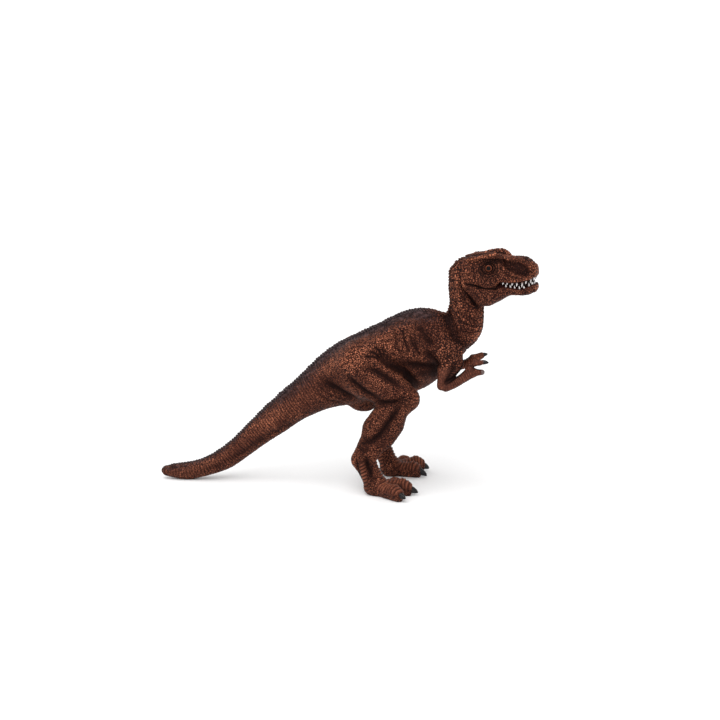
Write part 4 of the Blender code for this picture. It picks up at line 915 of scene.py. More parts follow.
def leg_relief(leg):
    """The relief of one leg: folds, rings, plates, the knee's rows of skin and fine pebbles."""
    hock, ankle = leg.joints[2:]
    down = unit(ankle - hock)

    def relief(points, normals):
        outward = outward_at(normals, leg.side)
        spots = as_right_leg(leg, points)
        dent, wash = fold_marks(LEG_FOLDS, spots)
        body_dent, body_wash = fold_marks(TAIL_ROOT_FOLDS, points[:, (0, 2)])
        push = -(dent + body_dent) * outward
        wash = np.maximum(wash, body_wash) * outward
        ring, ring_push, banded = toe_rings(leg, points)
        # plates down the front and the side of the instep
        run = (points - hock) @ down
        begun, ended = ramp(run, -0.6, 0.8), 1 - ramp(run, 8.0, 9.6)
        plates = wave(run, SCALE_PLATE_PITCH) * begun * ended * (np.abs(loft(leg.instep, points)) < 0.8)
        column = 1 - ramp(line_distance(PLATES, spots)[0], 0.7, 1.15)
        plated = ramp(np.abs(normals[:, 1]), 0.2, 0.6) * column + ramp(normals[:, 0], 0.5, 0.85)
        plated = np.clip(plated, 0, 1)
        banded = np.clip(banded + plated * begun * ended, 0, 1)
        ring = ring + plates * plated
        ring_push = ring_push + 0.13 * plates * plated
        # stretched rows of skin over the knee
        knee_front = blot(spots, (17.0, 31.6), (2.2, 3.2)) * ramp(normals[:, 0], 0.2, 0.7)
        knee_rows = 0.85 * wave(spots @ (0.35, 0.94), 0.95) * knee_front
        # the low faces turned up, over the toes, get extra copper as a painted highlight
        warm = warm_at(spots) + 0.35 * (1 - ramp(points[:, 2], 5.0, 8.0)) * ramp(normals[:, 2], 0.0, 0.6)
        beaded = 0.08 * (1 - 0.8 * banded) * (pebbles(points, PEBBLE_PITCH) - PEBBLE_MIDDLE)
        push = push + ring_push + 0.12 * knee_rows + beaded
        grain = 1 - 0.75 * np.maximum(banded, 0.7 * knee_front)
        return push, dict(wash=wash, ring=ring + knee_rows, warm=np.clip(warm, *WARM_RANGE),
                          coarse=np.zeros(len(points)), grain=grain)

    return relief


# %% [markdown]
# ## Relief of the arms
# The upper arm has the shoulder's coarse pebbles, the forearm has fine wrinkles across it, and the
# inside of the elbow is a soft pit with a few ribs of skin.

# %% Arm relief
def arm_relief(arm):
    """The relief of one arm: wrinkles round the forearm and ribs of skin inside the elbow."""
    down, forward = unit(arm.elbow - arm.shoulder), unit(arm.wrist - arm.elbow)
    bisector, crossing = unit(forward - down), unit(forward + down)
    side_shift = (arm.elbow - right_arm.elbow)[[0, 2]]

    def relief(points, normals):
        run = (points - arm.elbow) @ forward
        fore = ramp(loft(arm.upper, points) - loft(arm.fore, points), -0.3, 0.6)
        rings = wave(run + 0.3 * lumps(points, 1.6), 0.68) * fore * ramp(run, 0.5, 2.0)
        rings = rings * (1 - ramp(run, 8.5, 10.0))
        inner = points - (arm.elbow + 2.6 * forward - 2.4 * down)
        pit = np.exp(-((inner @ bisector) / 2.6) ** 2 - ((inner @ crossing) / 1.6) ** 2)
        pit = pit * ramp(normals @ bisector + 0.8 * normals[:, 1] * arm.side, -0.2, 0.5)
        ribs = wave((points - arm.elbow) @ down + 0.2 * lumps(points, 1.0), 0.8) * pit
        spots, outward = points[:, (0, 2)], outward_at(normals, arm.side)
        dent, wash = fold_marks(SHOULDER_FOLDS, spots)
        crook, crook_wash = fold_marks(ARM_FOLDS, spots - side_shift)
        beaded = ramp((arm.elbow - points) @ down, 4.2, 6.4) * (1 - fore)
        bead = pebbles(points, PEBBLE_PITCH)
        push = 0.05 * rings - 0.35 * pit + 0.07 * ribs - dent * outward * beaded
        push = push - crook * outward + 0.24 * beaded * (bead - PEBBLE_MIDDLE)
        wash = np.maximum(np.maximum(0.6 * pit, crook_wash * outward), wash * outward * beaded)
        # faces of the upper arm turned ahead get extra copper as a painted highlight
        warm = warm_at(spots) + 0.5 * ramp(normals[:, 0], 0.3, 0.9) * beaded
        # the far forearm gets extra copper as a painted highlight
        if arm is left_arm:
            warm = warm + 0.8 * fore
        return push, dict(wash=wash, ring=0.6 * rings + 0.9 * ribs, warm=np.clip(warm, *WARM_RANGE),
                          coarse=coarse_at(points), grain=0.3 + 0.7 * beaded)

    return relief


# %% [markdown]
# ## Relief of the head
# The muzzle has a long pit on each side, and the eye sits in a socket with rings of skin round it.
# Both are smooth steps of an oval distance in the head's own frame.

# %% Head relief
PIT_MIDDLE, PIT_HALVES, PIT_TURN = (16.0, 6.0), (4.9, 2.0), math.radians(-24)
HEAD_PEBBLE_PITCH, RIDGE_FULL = 0.75, 0.35


def head_relief(points, normals):
    """The relief of the skull and the jaw, in the head's own frame."""
    place = in_head(points)
    ahead, across, up = place.T
    side = np.where(across < 0, -1, 1)
    facing = normals @ HEAD_ACROSS * side
    outward = ramp(facing, 0.1, 0.5)
    spots = place[:, (0, 2)]
    dent, wash = fold_marks(HEAD_FOLDS, spots)
    ridge, _ = fold_marks(HEAD_RIDGES, spots)
    crested = np.clip(-ridge / RIDGE_FULL, 0, 1)
    # the pit of the muzzle and its rim
    offset = spots - PIT_MIDDLE
    u = offset @ (math.cos(PIT_TURN), math.sin(PIT_TURN)) / PIT_HALVES[0]
    v = offset @ (-math.sin(PIT_TURN), math.cos(PIT_TURN)) / PIT_HALVES[1]
    round_pit = np.hypot(u, v)
    pit = 1 - ramp(round_pit, 0.8, 1.1)
    rim = np.exp(-(((round_pit - 1.25) / 0.2) ** 2))
    # the socket of the eye and its rings
    round_eye = np.hypot(ahead - EYE[0], (up - EYE[2]) * 1.1)
    socket = 1 - ramp(round_eye, 1.3, 3.2)
    eye_rings = wave(round_eye - 1.5, 0.95) * ramp(round_eye, 1.2, 1.6) * (1 - ramp(round_eye, 3.4, 4.8))
    push = -dent - ridge - 1.0 * pit + 0.12 * rim - 0.6 * socket + 0.09 * eye_rings
    knobbly = 0.08 + 0.16 * np.clip(-ridge / RIDGE_FULL + ramp(normals[:, 2], 0.3, 0.8), 0, 1)
    push = push * outward + knobbly * (pebbles(place, HEAD_PEBBLE_PITCH) - PEBBLE_MIDDLE)
    back = ramp(normals[:, 2], 0.35, 0.75) * (1 - ramp(np.abs(across), 2.9, 4.0))
    back = back * (1 - ramp(ahead, 6.0, 10.0))
    push = push - 0.3 * back * ramp(ahead, 0.5, 2.5) * (1 - ramp(ahead, 9.0, 13.0))
    # where each paint goes: painted shade in the eye's socket and the muzzle's pit, a painted highlight on
    # faces turned ahead, and painted shade below the mouth line
    shade = np.maximum(np.maximum(wash, 0.46 * pit), 0.36 * (1 - ramp(round_eye, 1.9, 4.4)))
    warm = -0.22 + 1.2 * crested + 0.5 * rim + 1.3 * ramp(normals[:, 0], 0.2, 0.8)
    warm = warm - 0.12 * ramp(-up, 0.0, 2.0)
    gap = np.abs(up - 0.9) < 3.4
    inner = ramp(np.abs(normals[:, 2]), 0.55, 0.9) * gap * ramp(ahead, 8.5, 10.5)
    knobs = np.clip(-ridge / 0.25 + ramp(ahead, 15.5, 19) * ramp(up, 5.5, 8), 0, 1)
    raised = (0.8 * crested + 0.5 * rim) * ramp(facing, -0.15, 0.25)
    # the wash mask of the head carries the painted shade of the socket and the pit
    return push, dict(wash=1.45 * shade * outward, ring=0.7 * eye_rings * outward + raised,
                      warm=np.clip(warm, -0.36, 1), mouth=inner, back=back, coarse=knobs,
                      grain=np.ones(len(points)))


# %% [markdown]
# ## The hide mouldings
# Each moulding takes its share of the melted skin. Two neighbours meet where their own distances
# are equal. The maker glues, fills and paints over these seams, so each runs a little under the
# other and no line shows.

# %% Fields of the hide pieces
SEAM = -0.22  # each skin runs this far past the place where it meets its neighbour's
HEAD_MELT = 1.1


def shares(mine, theirs):
    """Below zero where a place is nearer to mine than to theirs, or just past their border."""
    return (mine - theirs) / 2 + SEAM


def hip_melt(points):
    """How softly a leg melts into the body: widely over the hip, and tightly at the fold in front."""
    return 2.0 + 4.0 * (1 - ramp(points[:, 0] - 0.35 * (points[:, 2] - 40), 2.0, 8.0))


def shoulder_melt(points):
    """How softly an arm melts into the chest: widely over the shoulder, and tightly below it."""
    return 1.2 + 3.3 * ramp(points[:, 2], 40.0, 44.5)


def limbs_and_trunk(points):
    """Every hide form but the head's, melted into one skin."""
    found = trunk_field(points)
    for leg in (right_leg, left_leg):
        found = melt(found, leg_field(leg, points), hip_melt(points))
    for arm in (right_arm, left_arm):
        found = melt(found, arm_field(arm, points), shoulder_melt(points))
    return found


def mouth_melt(points):
    """How softly the skull melts into the jaw: over the cheek, and hardly where the mouth is open."""
    ahead = in_head(points)[:, 0]
    return 0.15 + 1.5 * (1 - ramp(ahead, 9.0, 11.6)) + 1.8 * (1 - ramp(ahead, 1.5, 5.0))


def whole_skin(points):
    head = melt(skull_field(points), jaw_field(points), mouth_melt(points))
    return melt(limbs_and_trunk(points), head, HEAD_MELT)


def torso_piece(points):
    trunk = trunk_field(points)
    legs = [leg_field(leg, points) for leg in (right_leg, left_leg)]
    arms = [arm_field(arm, points) for arm in (right_arm, left_arm)]
    head = np.minimum(skull_field(points), jaw_field(points))
    found = trunk
    for leg in legs:
        found = melt(found, leg, hip_melt(points))
    for arm in arms:
        found = melt(found, arm, shoulder_melt(points))
    found = melt(found, head, HEAD_MELT)
    for other in (*legs, *arms, head):
        found = np.maximum(found, shares(trunk, other))
    return np.maximum(found, torso_start + SEAM - points[:, 0])


def tail_piece(points):
    found = melt(trunk_field(points), leg_field(right_leg, points), hip_melt(points))
    found = melt(found, leg_field(left_leg, points), hip_melt(points))
    return np.maximum(np.maximum(found, points[:, 0] - torso_start + SEAM), 0.02 - points[:, 2])


def leg_piece(leg):
    def piece(points):
        mine, trunk = leg_field(leg, points), trunk_field(points)
        found = np.maximum(melt(trunk, mine, hip_melt(points)), shares(mine, trunk))
        found = np.maximum(found, torso_start + SEAM - points[:, 0])
        return np.maximum(found, -points[:, 2])

    return piece


def arm_piece(arm):
    def piece(points):
        mine, trunk = arm_field(arm, points), trunk_field(points)
        return np.maximum(melt(trunk, mine, shoulder_melt(points)), shares(mine, trunk))

    return piece


def mouth_piece(lower):
    """The skull's share of the melted head, or the lower jaw's."""

    def piece(points):
        skull, jaw, trunk = skull_field(points), jaw_field(points), trunk_field(points)
        mine, other = (jaw, skull) if lower else (skull, jaw)
        found = melt(melt(skull, jaw, mouth_melt(points)), trunk, HEAD_MELT)
        return np.maximum(np.maximum(found, shares(mine, other)), shares(mine, trunk))

    return piece


print("skin at the hip, mm:", whole_skin(np.array([[0, 0, hip_height]])).round(2))

# %% [markdown]
# ## From arrays to objects
# Every piece becomes a mesh in one way: foreach_set puts whole arrays into it, and each paint mask
# becomes a number on every point. The net is laid finely enough for a pebble of under a millimetre.

# %% Mesh and sculpture
OPEN_REACHES = (1.0, 3.0)
UNEVEN = ((0.045, 1.1), (0.04, 2.3))  # heights and sizes of the soft lumps that every casting has
root_pieces = []


def put_mesh(name, points, faces, marks=None):
    """An object from point and face arrays in millimetres, with float attributes for its paint."""
    mesh = bpy.data.meshes.new(name)
    points = (points + SHIFT) * MM
    mesh.vertices.add(len(points))
    mesh.vertices.foreach_set("co", points.astype(np.float32).ravel())
    corners = faces.shape[1]
    mesh.loops.add(faces.size)
    mesh.loops.foreach_set("vertex_index", faces.astype(np.int32).ravel())
    mesh.polygons.add(len(faces))
    mesh.polygons.foreach_set("loop_start", np.arange(0, faces.size, corners, dtype=np.int32))
    mesh.update(calc_edges=True)
    mesh.validate()
    mesh.shade_smooth()
    for label, values in (marks or {}).items():
        layer = mesh.attributes.new(label, "FLOAT", "POINT")
        layer.data.foreach_set("value", np.asarray(values, np.float32))
    made = bpy.data.objects.new(name, mesh)
    bpy.context.scene.collection.objects.link(made)
    root_pieces.append(made)
    return made


def openness(points, normals, reach):
    """How open the space is over the skin: the skin's distance a little way out, as a share of that way."""
    return np.clip(whole_skin(points + reach * normals) / reach, 0, 1)


def sculpt(name, field, relief, low, high, step):
    """A hide moulding: its net, its relief and its paint masks."""
    points, faces = net(field, low, high, step * (1))
    points = settle(field, points)
    lean = slope(whole_skin, points)
    normals = lean / np.maximum(np.linalg.norm(lean, axis=1, keepdims=True), 1e-6)
    push, marks = relief(points, normals)
    # how open the space over each place is; the paint darkens closed places with painted shade
    marks["open"] = sum(0.5 * openness(points, normals, reach) for reach in OPEN_REACHES)
    for height, size in UNEVEN:
        push = push + height * lumps(points, size)
    # nothing is pushed through the ground
    ground = ramp(points[:, 2], 0.02, 0.4)
    points = points + (push * ground)[:, None] * normals
    return put_mesh(name, points, faces, marks)


# %% [markdown]
# ## Eight skins
# Each skin gets a box that it fits in and a size for the cubes of its net. The head's and the
# arms' are the smallest, because their detail is.

# %% Hide pieces
TORSO_STEP, TAIL_STEP, LEG_STEP, ARM_STEP, HEAD_STEP = 0.25, 0.23, 0.2, 0.17, 0.17
pieces = {}
torso_low, torso_high = (torso_start - 0.3, -10.5, 22.5), (39.5, 10.5, 74.5)
pieces["torso"] = sculpt("hide_torso", torso_piece, body_relief, torso_low, torso_high, TORSO_STEP)
tail_low, tail_high = (-66.5, -7.5, -0.6), (torso_start + 0.6, 7.5, 43.5)
pieces["tail"] = sculpt("hide_tail", tail_piece, body_relief, tail_low, tail_high, TAIL_STEP)
for leg, label in ((right_leg, "right"), (left_leg, "left")):
    corners = np.array([*leg.joints, *(toe.start + toe.heading * toe.length for toe in leg.toes)])
    low, high = corners.min(0) - (8.6, 7.0, 0), corners.max(0) + (5.5, 7.0, 9.0)
    low[2] = -0.6
    pieces["leg_" + label] = sculpt("hide_leg_" + label, leg_piece(leg), leg_relief(leg), low, high, LEG_STEP)
for arm, label in ((right_arm, "right"), (left_arm, "left")):
    corners = np.array([arm.shoulder, arm.elbow, arm.wrist + (5, 0, 4)])
    low, high = corners.min(0) - (5.0, 4.0, 4.0), corners.max(0) + (2.0, 4.0, 5.0)
    pieces["arm_" + label] = sculpt("hide_arm_" + label, arm_piece(arm), arm_relief(arm), low, high, ARM_STEP)
head_low, head_high = MOUTH + (-3.5, -10.5, -3.5), MOUTH + (24.5, 8.5, 12.0)
pieces["head"] = sculpt("hide_head", mouth_piece(False), head_relief, head_low, head_high, HEAD_STEP)
jaw_low, jaw_high = MOUTH + (-3.0, -10.0, -8.5), MOUTH + (24.0, 8.0, 2.5)
pieces["lower_jaw"] = sculpt("hide_lower_jaw", mouth_piece(True), head_relief, jaw_low, jaw_high, HEAD_STEP)
for node, made in pieces.items():
    print(node, len(made.data.vertices), "points")

# %% [markdown]
# ## Claws
# A claw is cast with its toe and painted gloss black. Its skin is a ring of ovals carried along an
# arc. With bend = sin(u times pi / 2) at share u of the rows, the middle runs ahead by bend and
# drops by bend^1.7, and the oval shrinks by (1 - bend^1.9)^0.62, so that the rows crowd at the tip.

# %% Tubes and claws
def tube(middles, sides, ups, widths, heights, count, power=2.0):
    """Points and quads of ovals carried along a line of middles, closed by a lid of quads at each end."""
    v = np.linspace(0, 2 * np.pi, count, endpoint=False)
    run, rise = np.cos(v), np.sin(v)
    run = np.sign(run) * np.abs(run) ** (2 / power)
    rise = np.sign(rise) * np.abs(rise) ** (2 / power)
    points = (middles[:, None] + sides[:, None] * (widths[:, None] * run)[..., None]
              + ups[:, None] * (heights[:, None] * rise)[..., None])
    rows = len(middles)
    number = np.arange(rows * count).reshape(rows, count)
    beside = np.roll(number, -1, 1)
    quads = np.stack([number[:-1], beside[:-1], beside[1:], number[1:]], -1)
    i = np.arange(count // 2 - 1)
    lid = np.stack([i, i + 1, count - 2 - i, count - 1 - i], -1)
    quads = np.vstack([quads.reshape(-1, 4), lid[:, ::-1], lid + (rows - 1) * count])
    return points.reshape(-1, 3), quads


def claw(root, heading, up, length, drop, width, height, rows=26, count=24, end=(1.9, 0.62)):
    """One claw from its root to its tip, and the share along it of every point."""
    u = np.linspace(0, 1, rows)
    bend = np.sin(u * np.pi / 2)
    middles = root + heading * (length * bend)[:, None] - up * (drop * bend**1.7)[:, None]
    along = unit_rows(np.gradient(middles, axis=0))
    sides = np.repeat(np.cross(up, heading)[None], rows, 0)
    ups = np.cross(along, sides)
    size = np.clip(1 - bend ** end[0], 0, 1) ** end[1] + 1e-4
    points, faces = tube(middles, sides, ups, width * size, height * size, count)
    return points, faces, np.repeat(bend, count)


def gather(parts):
    """Several pieces' points, faces and shares as one."""
    starts = np.concatenate([[0], np.cumsum([len(part[0]) for part in parts])])
    points = np.vstack([part[0] for part in parts])
    faces = np.vstack([part[1] + start for part, start in zip(parts, starts)])
    return points, faces, np.concatenate([part[2] for part in parts])


# %% Claws of the toes and fingers
CLAW_INSET, CLAW_HEIGHT, CLAW_LENGTH, CLAW_HALF_WIDTH = 0.7, 2.15, 3.4, 1.0
# A finger's claw: length, drop, half width, half height, rows, points round, and powers of its end
SHARP_CLAW = (1.9, 0.4, 0.66, 0.76, 18, 16, (1.9, 0.62))
BLUNT_CLAW = (1.15, 0.1, 0.86, 0.92, 18, 16, (2.6, 0.5))
claws = []
# Each toe's claw: drop and half height
CLAW_FALLS = ((0.6, 1.2), (1.15, 1.3), (1.5, 1.3), (1.5, 1.3), (1.45, 1.3), (1.5, 1.3))
for toe, (drop, tall) in zip((*right_leg.toes, *left_leg.toes), CLAW_FALLS):
    end = toe.start + toe.heading * (toe.length - CLAW_INSET)
    root = np.array([end[0], end[1], CLAW_HEIGHT])
    claws.append(claw(root, toe.heading, Z_AXIS, CLAW_LENGTH, drop, CLAW_HALF_WIDTH, tall))
for arm in (right_arm, left_arm):
    for finger in arm.fingers:
        blunt = arm is right_arm and finger is arm.fingers[1]
        up = unit(Z_AXIS - finger.heading * finger.heading[2])
        root = finger.start + finger.heading * (finger.length - 0.1)
        claws.append(claw(root, finger.heading, up, *(BLUNT_CLAW if blunt else SHARP_CLAW)))
points, faces, along = gather(claws)
worn = len(right_leg.toes) + len(left_leg.toes) + 1  # the near hand's lower claw, whose black is thin
pale = np.concatenate([np.full(len(part[0]), float(i == worn)) for i, part in enumerate(claws)])
claw_piece = put_mesh("claws", points, faces, dict(along=along, pale=pale))
print("claws:", len(claws), "with", len(points), "points")

# %% [markdown]
# ## Teeth and the inside of the mouth
# The teeth are short cones that stand on the lips. Upper and lower ones alternate, and each leans
# a little back. Behind them lies the dark gum, a solid wall in the casting.

# %% Lips
def lip(shape, at, out, sign):
    """Height of a form's top (sign 1) or underside (sign -1) this far out from its middle."""
    low, high, wide, _ = rows_at(shape.rows, at).T
    waist, power = shape.outline
    middle = low + waist * (high - low)
    reach = np.where(sign > 0, high - middle, middle - low)
    return middle + sign * reach * (1 - np.clip(out / wide, 0, 1) ** power) ** (1 / power)


def lips_at(x):
    """Outer half width and the heights of the upper and lower lip at places along the head."""
    skull_at, jaw_at = (x - skull_start) / SKULL_LENGTH, x / jaw_length
    wide = np.minimum(rows_at(SKULL.rows, skull_at)[:, 2], rows_at(JAW.rows, jaw_at)[:, 2])
    return wide, lip(SKULL, skull_at, wide - 0.75, -1), lip(JAW, jaw_at, wide - 0.9, 1)


# %% Teeth
TOOTH = (0.2, 0.27, 0.36, 12, 14, (1.4, 0.8))  # drop, half sizes, rows, points round, powers of its end
TOOTH_SINK = 0.35


def tooth(x, out, z, sign, length):
    """A tooth with its root at a place of the head's frame. Sign is -1 for an upper one."""
    return claw(head_point(x, out, z), sign * Z_AXIS, HEAD_FORWARD, length, *TOOTH)


teeth = []
UPPER_X = np.array([11.9, 13.2, 14.6, 16.0, 17.5, 18.9, 20.1, 21.0])
LOWER_X = np.array([12.6, 13.9, 15.3, 16.8, 18.3, 19.5, 20.5])
# Each row's places, its way, its teeth's share of the gap and their inset from the lip
for places, sign, share, inset in ((UPPER_X, -1, 0.66, 0.6), (LOWER_X, 1, 0.52, 0.85)):
    wide, upper, lower = lips_at(places)
    start = (upper if sign < 0 else lower) - sign * TOOTH_SINK
    length = np.clip(share * (upper - lower), 0.45, 1.5) + TOOTH_SINK
    order = np.arange(len(places))
    for side in (-1, 1):
        drawn = lattice(np.column_stack([order, np.full(len(order), side + 2), np.full(len(order), sign)]))
        set_out = (places + 0.3 * (drawn - 0.5), side * (wide - inset), start, length * (0.8 + 0.35 * drawn))
        teeth += [tooth(x, out, z, sign, tall) for x, out, z, tall in zip(*set_out)]
# the front teeth stand on a curve
front_upper, front_lower = (heights[0] for heights in lips_at(np.array([20.7]))[1:])
for out in (-1.65, -0.55, 0.55, 1.65):
    curve = 0.14 * out**2
    teeth.append(tooth(21.3 - curve, out, front_upper + 0.4, -1, 1.35))
    teeth.append(tooth(20.9 - curve, out * 0.9, front_lower - TOOTH_SINK, 1, 0.95))
points, faces, along = gather(teeth)
tooth_piece = put_mesh("teeth", points, faces, dict(along=along))
print("teeth:", len(teeth))

# %% Gums
GUM_MIDDLE, GUM_HALF, GUM_ROWS, GUM_COUNT = 14.9, 5.75, 40, 32
GUM_INSET, GUM_OVERLAP, GUM_POWER = 1.75, 0.8, 3.0
x = GUM_MIDDLE + GUM_HALF * np.sin(np.linspace(-np.pi / 2, np.pi / 2, GUM_ROWS))
wide, upper, lower = lips_at(x)
round_off = np.sqrt(np.clip(1 - ((x - GUM_MIDDLE) / GUM_HALF) ** 8, 1e-6, 1))
middles = head_point(0, 0, 0) + np.outer(x, HEAD_FORWARD) + np.outer((upper + lower) / 2, Z_AXIS)
sides, ups = (np.repeat(way[None], GUM_ROWS, 0) for way in (HEAD_ACROSS, Z_AXIS))
half_height = (upper - lower) / 2 + GUM_OVERLAP
points, faces = tube(middles, sides, ups, (wide - GUM_INSET) * round_off, half_height * round_off,
                     GUM_COUNT, GUM_POWER)
gum_piece = put_mesh("gums", points, faces)
print("widest half of the gums, mm:", round(float((wide - GUM_INSET).max()), 2))

# %% [markdown]
# ## Eyes
# A bead with a painted iris, set deep under the brow. It is a ball drawn from its outward pole, and
# every point keeps its distance from that pole's axis, which the paint reads.

# %% Eyes
EYE_RADIUS, EYE_ROWS, EYE_COUNT = 1.3, 36, 40
BEHIND = 2.0  # the mark of the back half, which lies past the rim


def eye(side):
    """One eye, turned a little ahead and up, and every point's distance from its outward axis."""
    centre = head_point(EYE[0], side * EYE[1], EYE[2])
    axis = unit(HEAD_ACROSS * side + 0.12 * HEAD_FORWARD + 0.04 * Z_AXIS)
    first = unit(np.cross(Z_AXIS, axis))
    second = np.cross(axis, first)
    u = np.linspace(0.001, np.pi - 0.001, EYE_ROWS)
    middles = centre + np.outer(np.cos(u) * EYE_RADIUS, axis)
    rows, around = np.ones((EYE_ROWS, 1)), EYE_RADIUS * np.sin(u)
    points, faces = tube(middles, rows * first, rows * second, around, around, EYE_COUNT)
    return points, faces[:, ::-1], np.repeat(np.where(u < np.pi / 2, around, BEHIND), EYE_COUNT)


points, faces, away = gather([eye(-1), eye(1)])
eye_piece = put_mesh("eyes", points, faces, dict(away=away))
print("eyes:", len(points), "points")

# %% [markdown]
# ## The row of scales down the back
# A comb of small scales runs from the brow over the neck and back to the tail. Its line is found
# by sliding a guess along the field's slope until it lies on the skin, and the scales are small
# lens shapes a fixed way apart along it.

# %% The crest's line
def laid_on_skin(places, rounds):
    """Slides places along the whole skin's slope until they lie on it."""
    for _ in range(rounds):
        lean = slope(whole_skin, places)
        places = places - (whole_skin(places) / np.maximum((lean**2).sum(1), 0.3))[:, None] * lean
    return places


guess_x = np.linspace(-63.5, 27.0, 260)
guess_top = rows_at(body_rows, guess_x)
back_line = np.column_stack([guess_x, guess_top[:, 3], guess_top[:, 1] + 0.4])
neck_z = np.linspace(NECK.start[2] + 9, NECK.start[2] + 27, 60)
neck_back = rows_at(NECK.rows, (neck_z - NECK.start[2]) / NECK_LENGTH)[:, 0]
neck_line = np.column_stack([neck_x + neck_back, np.zeros(60), neck_z])
head_line = np.array([head_point(x, 0, 9.4) for x in np.linspace(0.4, 11.0, 40)])
line = laid_on_skin(np.vstack([back_line, neck_line, head_line]), 6)
for _ in range(12):
    line[1:-1] = 0.5 * line[1:-1] + 0.25 * (line[:-2] + line[2:])
run = np.concatenate([[0], np.cumsum(np.linalg.norm(np.diff(line, axis=0), axis=1))])
print("the crest's line, mm:", round(float(run[-1]), 1))

# %% The crest's rows
CREST_PITCH, CREST_SINK = 0.92, 0.14
CREST_ROWS = ((0.0, 1.0, 0.0), (-1.15, 0.8, 0.5), (1.15, 0.8, 0.5), (-2.1, 0.6, 0.0), (2.1, 0.6, 0.0))


def on_line(at):
    return np.column_stack([np.interp(at, run, line[:, i]) for i in range(3)])


scales = []
for row, (aside, size, shift) in enumerate(CREST_ROWS):
    at = np.arange(1.0 + shift * CREST_PITCH, run[-1] - 0.5, CREST_PITCH)
    middles, share = on_line(at), at / run[-1]
    along = unit_rows(on_line(at + 0.3) - middles)
    # smaller at the tail's tip, on the neck and on the brow
    fade = (0.5 + 0.5 * ramp(share, 0.02, 0.3)) * (1 - 0.25 * ramp(share, 0.70, 0.76))
    fade = fade * (1 - 0.25 * ramp(share, 0.9, 1.0))
    across = unit_rows(np.cross(along, np.cross(Y_AXIS, along)))
    middles = laid_on_skin(middles + across * (aside * fade)[:, None] * np.sign(across[:, 1:2]), 3)
    normal = unit_rows(slope(whole_skin, middles))
    # sunk a little in the slate band, where the skin is pushed in too
    sunk = ramp(share, 0.1, 0.35) * (1 - ramp(share, 0.84, 0.88))
    middles = middles - CREST_SINK * normal * sunk[:, None]
    jitter = 1 + 0.4 * lumps(middles + row * 7.0, 0.9)
    side_way, brown = np.cross(normal, along), ramp(share, 0.70, 0.76)
    scales.append((middles, along, side_way, normal, size * fade * jitter, brown))
middles, along, side_way, normal, size, brown = (np.concatenate(group) for group in zip(*scales))
print("crest scales:", len(middles))

# %% Crest scales
BALL_ROWS, BALL_COUNT, LENS_HALVES, SCALE_LEAN = 9, 12, (0.42, 0.66, 0.52), 0.25
u = np.linspace(0, np.pi, BALL_ROWS)[:, None]
v = np.linspace(0, 2 * np.pi, BALL_COUNT, endpoint=False)[None]
ball = np.stack([np.sin(u) * np.cos(v), np.sin(u) * np.sin(v), np.cos(u) * np.ones_like(v)], -1)
ball = ball.reshape(-1, 3)
number = np.arange(len(ball)).reshape(BALL_ROWS, BALL_COUNT)
beside = np.roll(number, -1, 1)
quads = np.stack([number[1:], beside[1:], beside[:-1], number[:-1]], -1).reshape(-1, 4)
reach = size[:, None] * np.array(LENS_HALVES)
points = middles[:, None]
for i, way in enumerate((along, side_way, normal)):
    points = points + ball[None, :, i : i + 1] * (way * reach[:, i : i + 1])[:, None]
# each top leans back by a share of its size that grows with the square of its height
leaned = (SCALE_LEAN * np.clip(ball[:, 2], 0, 1) ** 2)[None, :, None]
points = points + leaned * (-along * size[:, None])[:, None]
faces = (quads[None] + len(ball) * np.arange(len(middles))[:, None, None]).reshape(-1, 4)
marks = dict(height=np.tile(ball[:, 2], len(middles)), brown=np.repeat(brown, len(ball)))
crest_piece = put_mesh("crest_scales", points.reshape(-1, 3), faces, marks)
print("crest points:", points.shape[0] * points.shape[1])

# %% [markdown]
# ## Shader tools
# Every finish below is a few nodes, so a helper adds one node and joins its inputs in one call.

# %% Node helpers
def node(tree, kind, *inputs, **settings):
    """A new node with its inputs in order: a socket is linked, a value is set, and None is left alone."""
    made = tree.nodes.new("ShaderNode" + kind)
    named = settings.pop("named", {})
    for key, value in settings.items():
        setattr(made, key, value)
    for key, value in [*enumerate(inputs), *named.items()]:
        if isinstance(value, bpy.types.NodeSocket):
            tree.links.new(value, made.inputs[key])
        elif value is not None:
            made.inputs[key].default_value = value
    return made


def maths(tree, operation, *inputs, clamp=False):
    return node(tree, "Math", *inputs, operation=operation, use_clamp=clamp).outputs[0]


def mapped(tree, value, low, high, to_low=0.0, to_high=1.0):
    """The value's smooth step from low to high, as a number from to_low to to_high."""
    step = node(tree, "MapRange", value, low, high, to_low, to_high, interpolation_type="SMOOTHSTEP")
    return step.outputs[0]


def blend_colour(tree, share, first, second):
    made = tree.nodes.new("ShaderNodeMix")
    made.data_type = "RGBA"
    for key, value in ((0, share), (6, first), (7, second)):
        if isinstance(value, bpy.types.NodeSocket):
            tree.links.new(value, made.inputs[key])
        else:
            made.inputs[key].default_value = value
    return made.outputs[2]


def group(name, inputs, outputs):
    """An empty node group with named sockets. Inputs are (name, kind, value)."""
    tree = bpy.data.node_groups.new(name, "ShaderNodeTree")
    for label, kind, value in inputs:
        socket = tree.interface.new_socket(label, in_out="INPUT", socket_type="NodeSocket" + kind)
        if value is not None:
            socket.default_value = value
    for label, kind in outputs:
        tree.interface.new_socket(label, in_out="OUTPUT", socket_type="NodeSocket" + kind)
    return tree, tree.nodes.new("NodeGroupInput").outputs, tree.nodes.new("NodeGroupOutput").inputs


def material(name):
    made = bpy.data.materials.new(name)
    made.use_nodes = True
    shader = made.node_tree.nodes["Principled BSDF"]
    return made, made.node_tree, shader


# %% [markdown]
# ## The pebbled grain
# The skin is covered with small beads of uneven size, larger on the shoulders and the neck. Cell
# noise, bent by a soft noise, gives each its place, and the distance to its edge makes the dome.

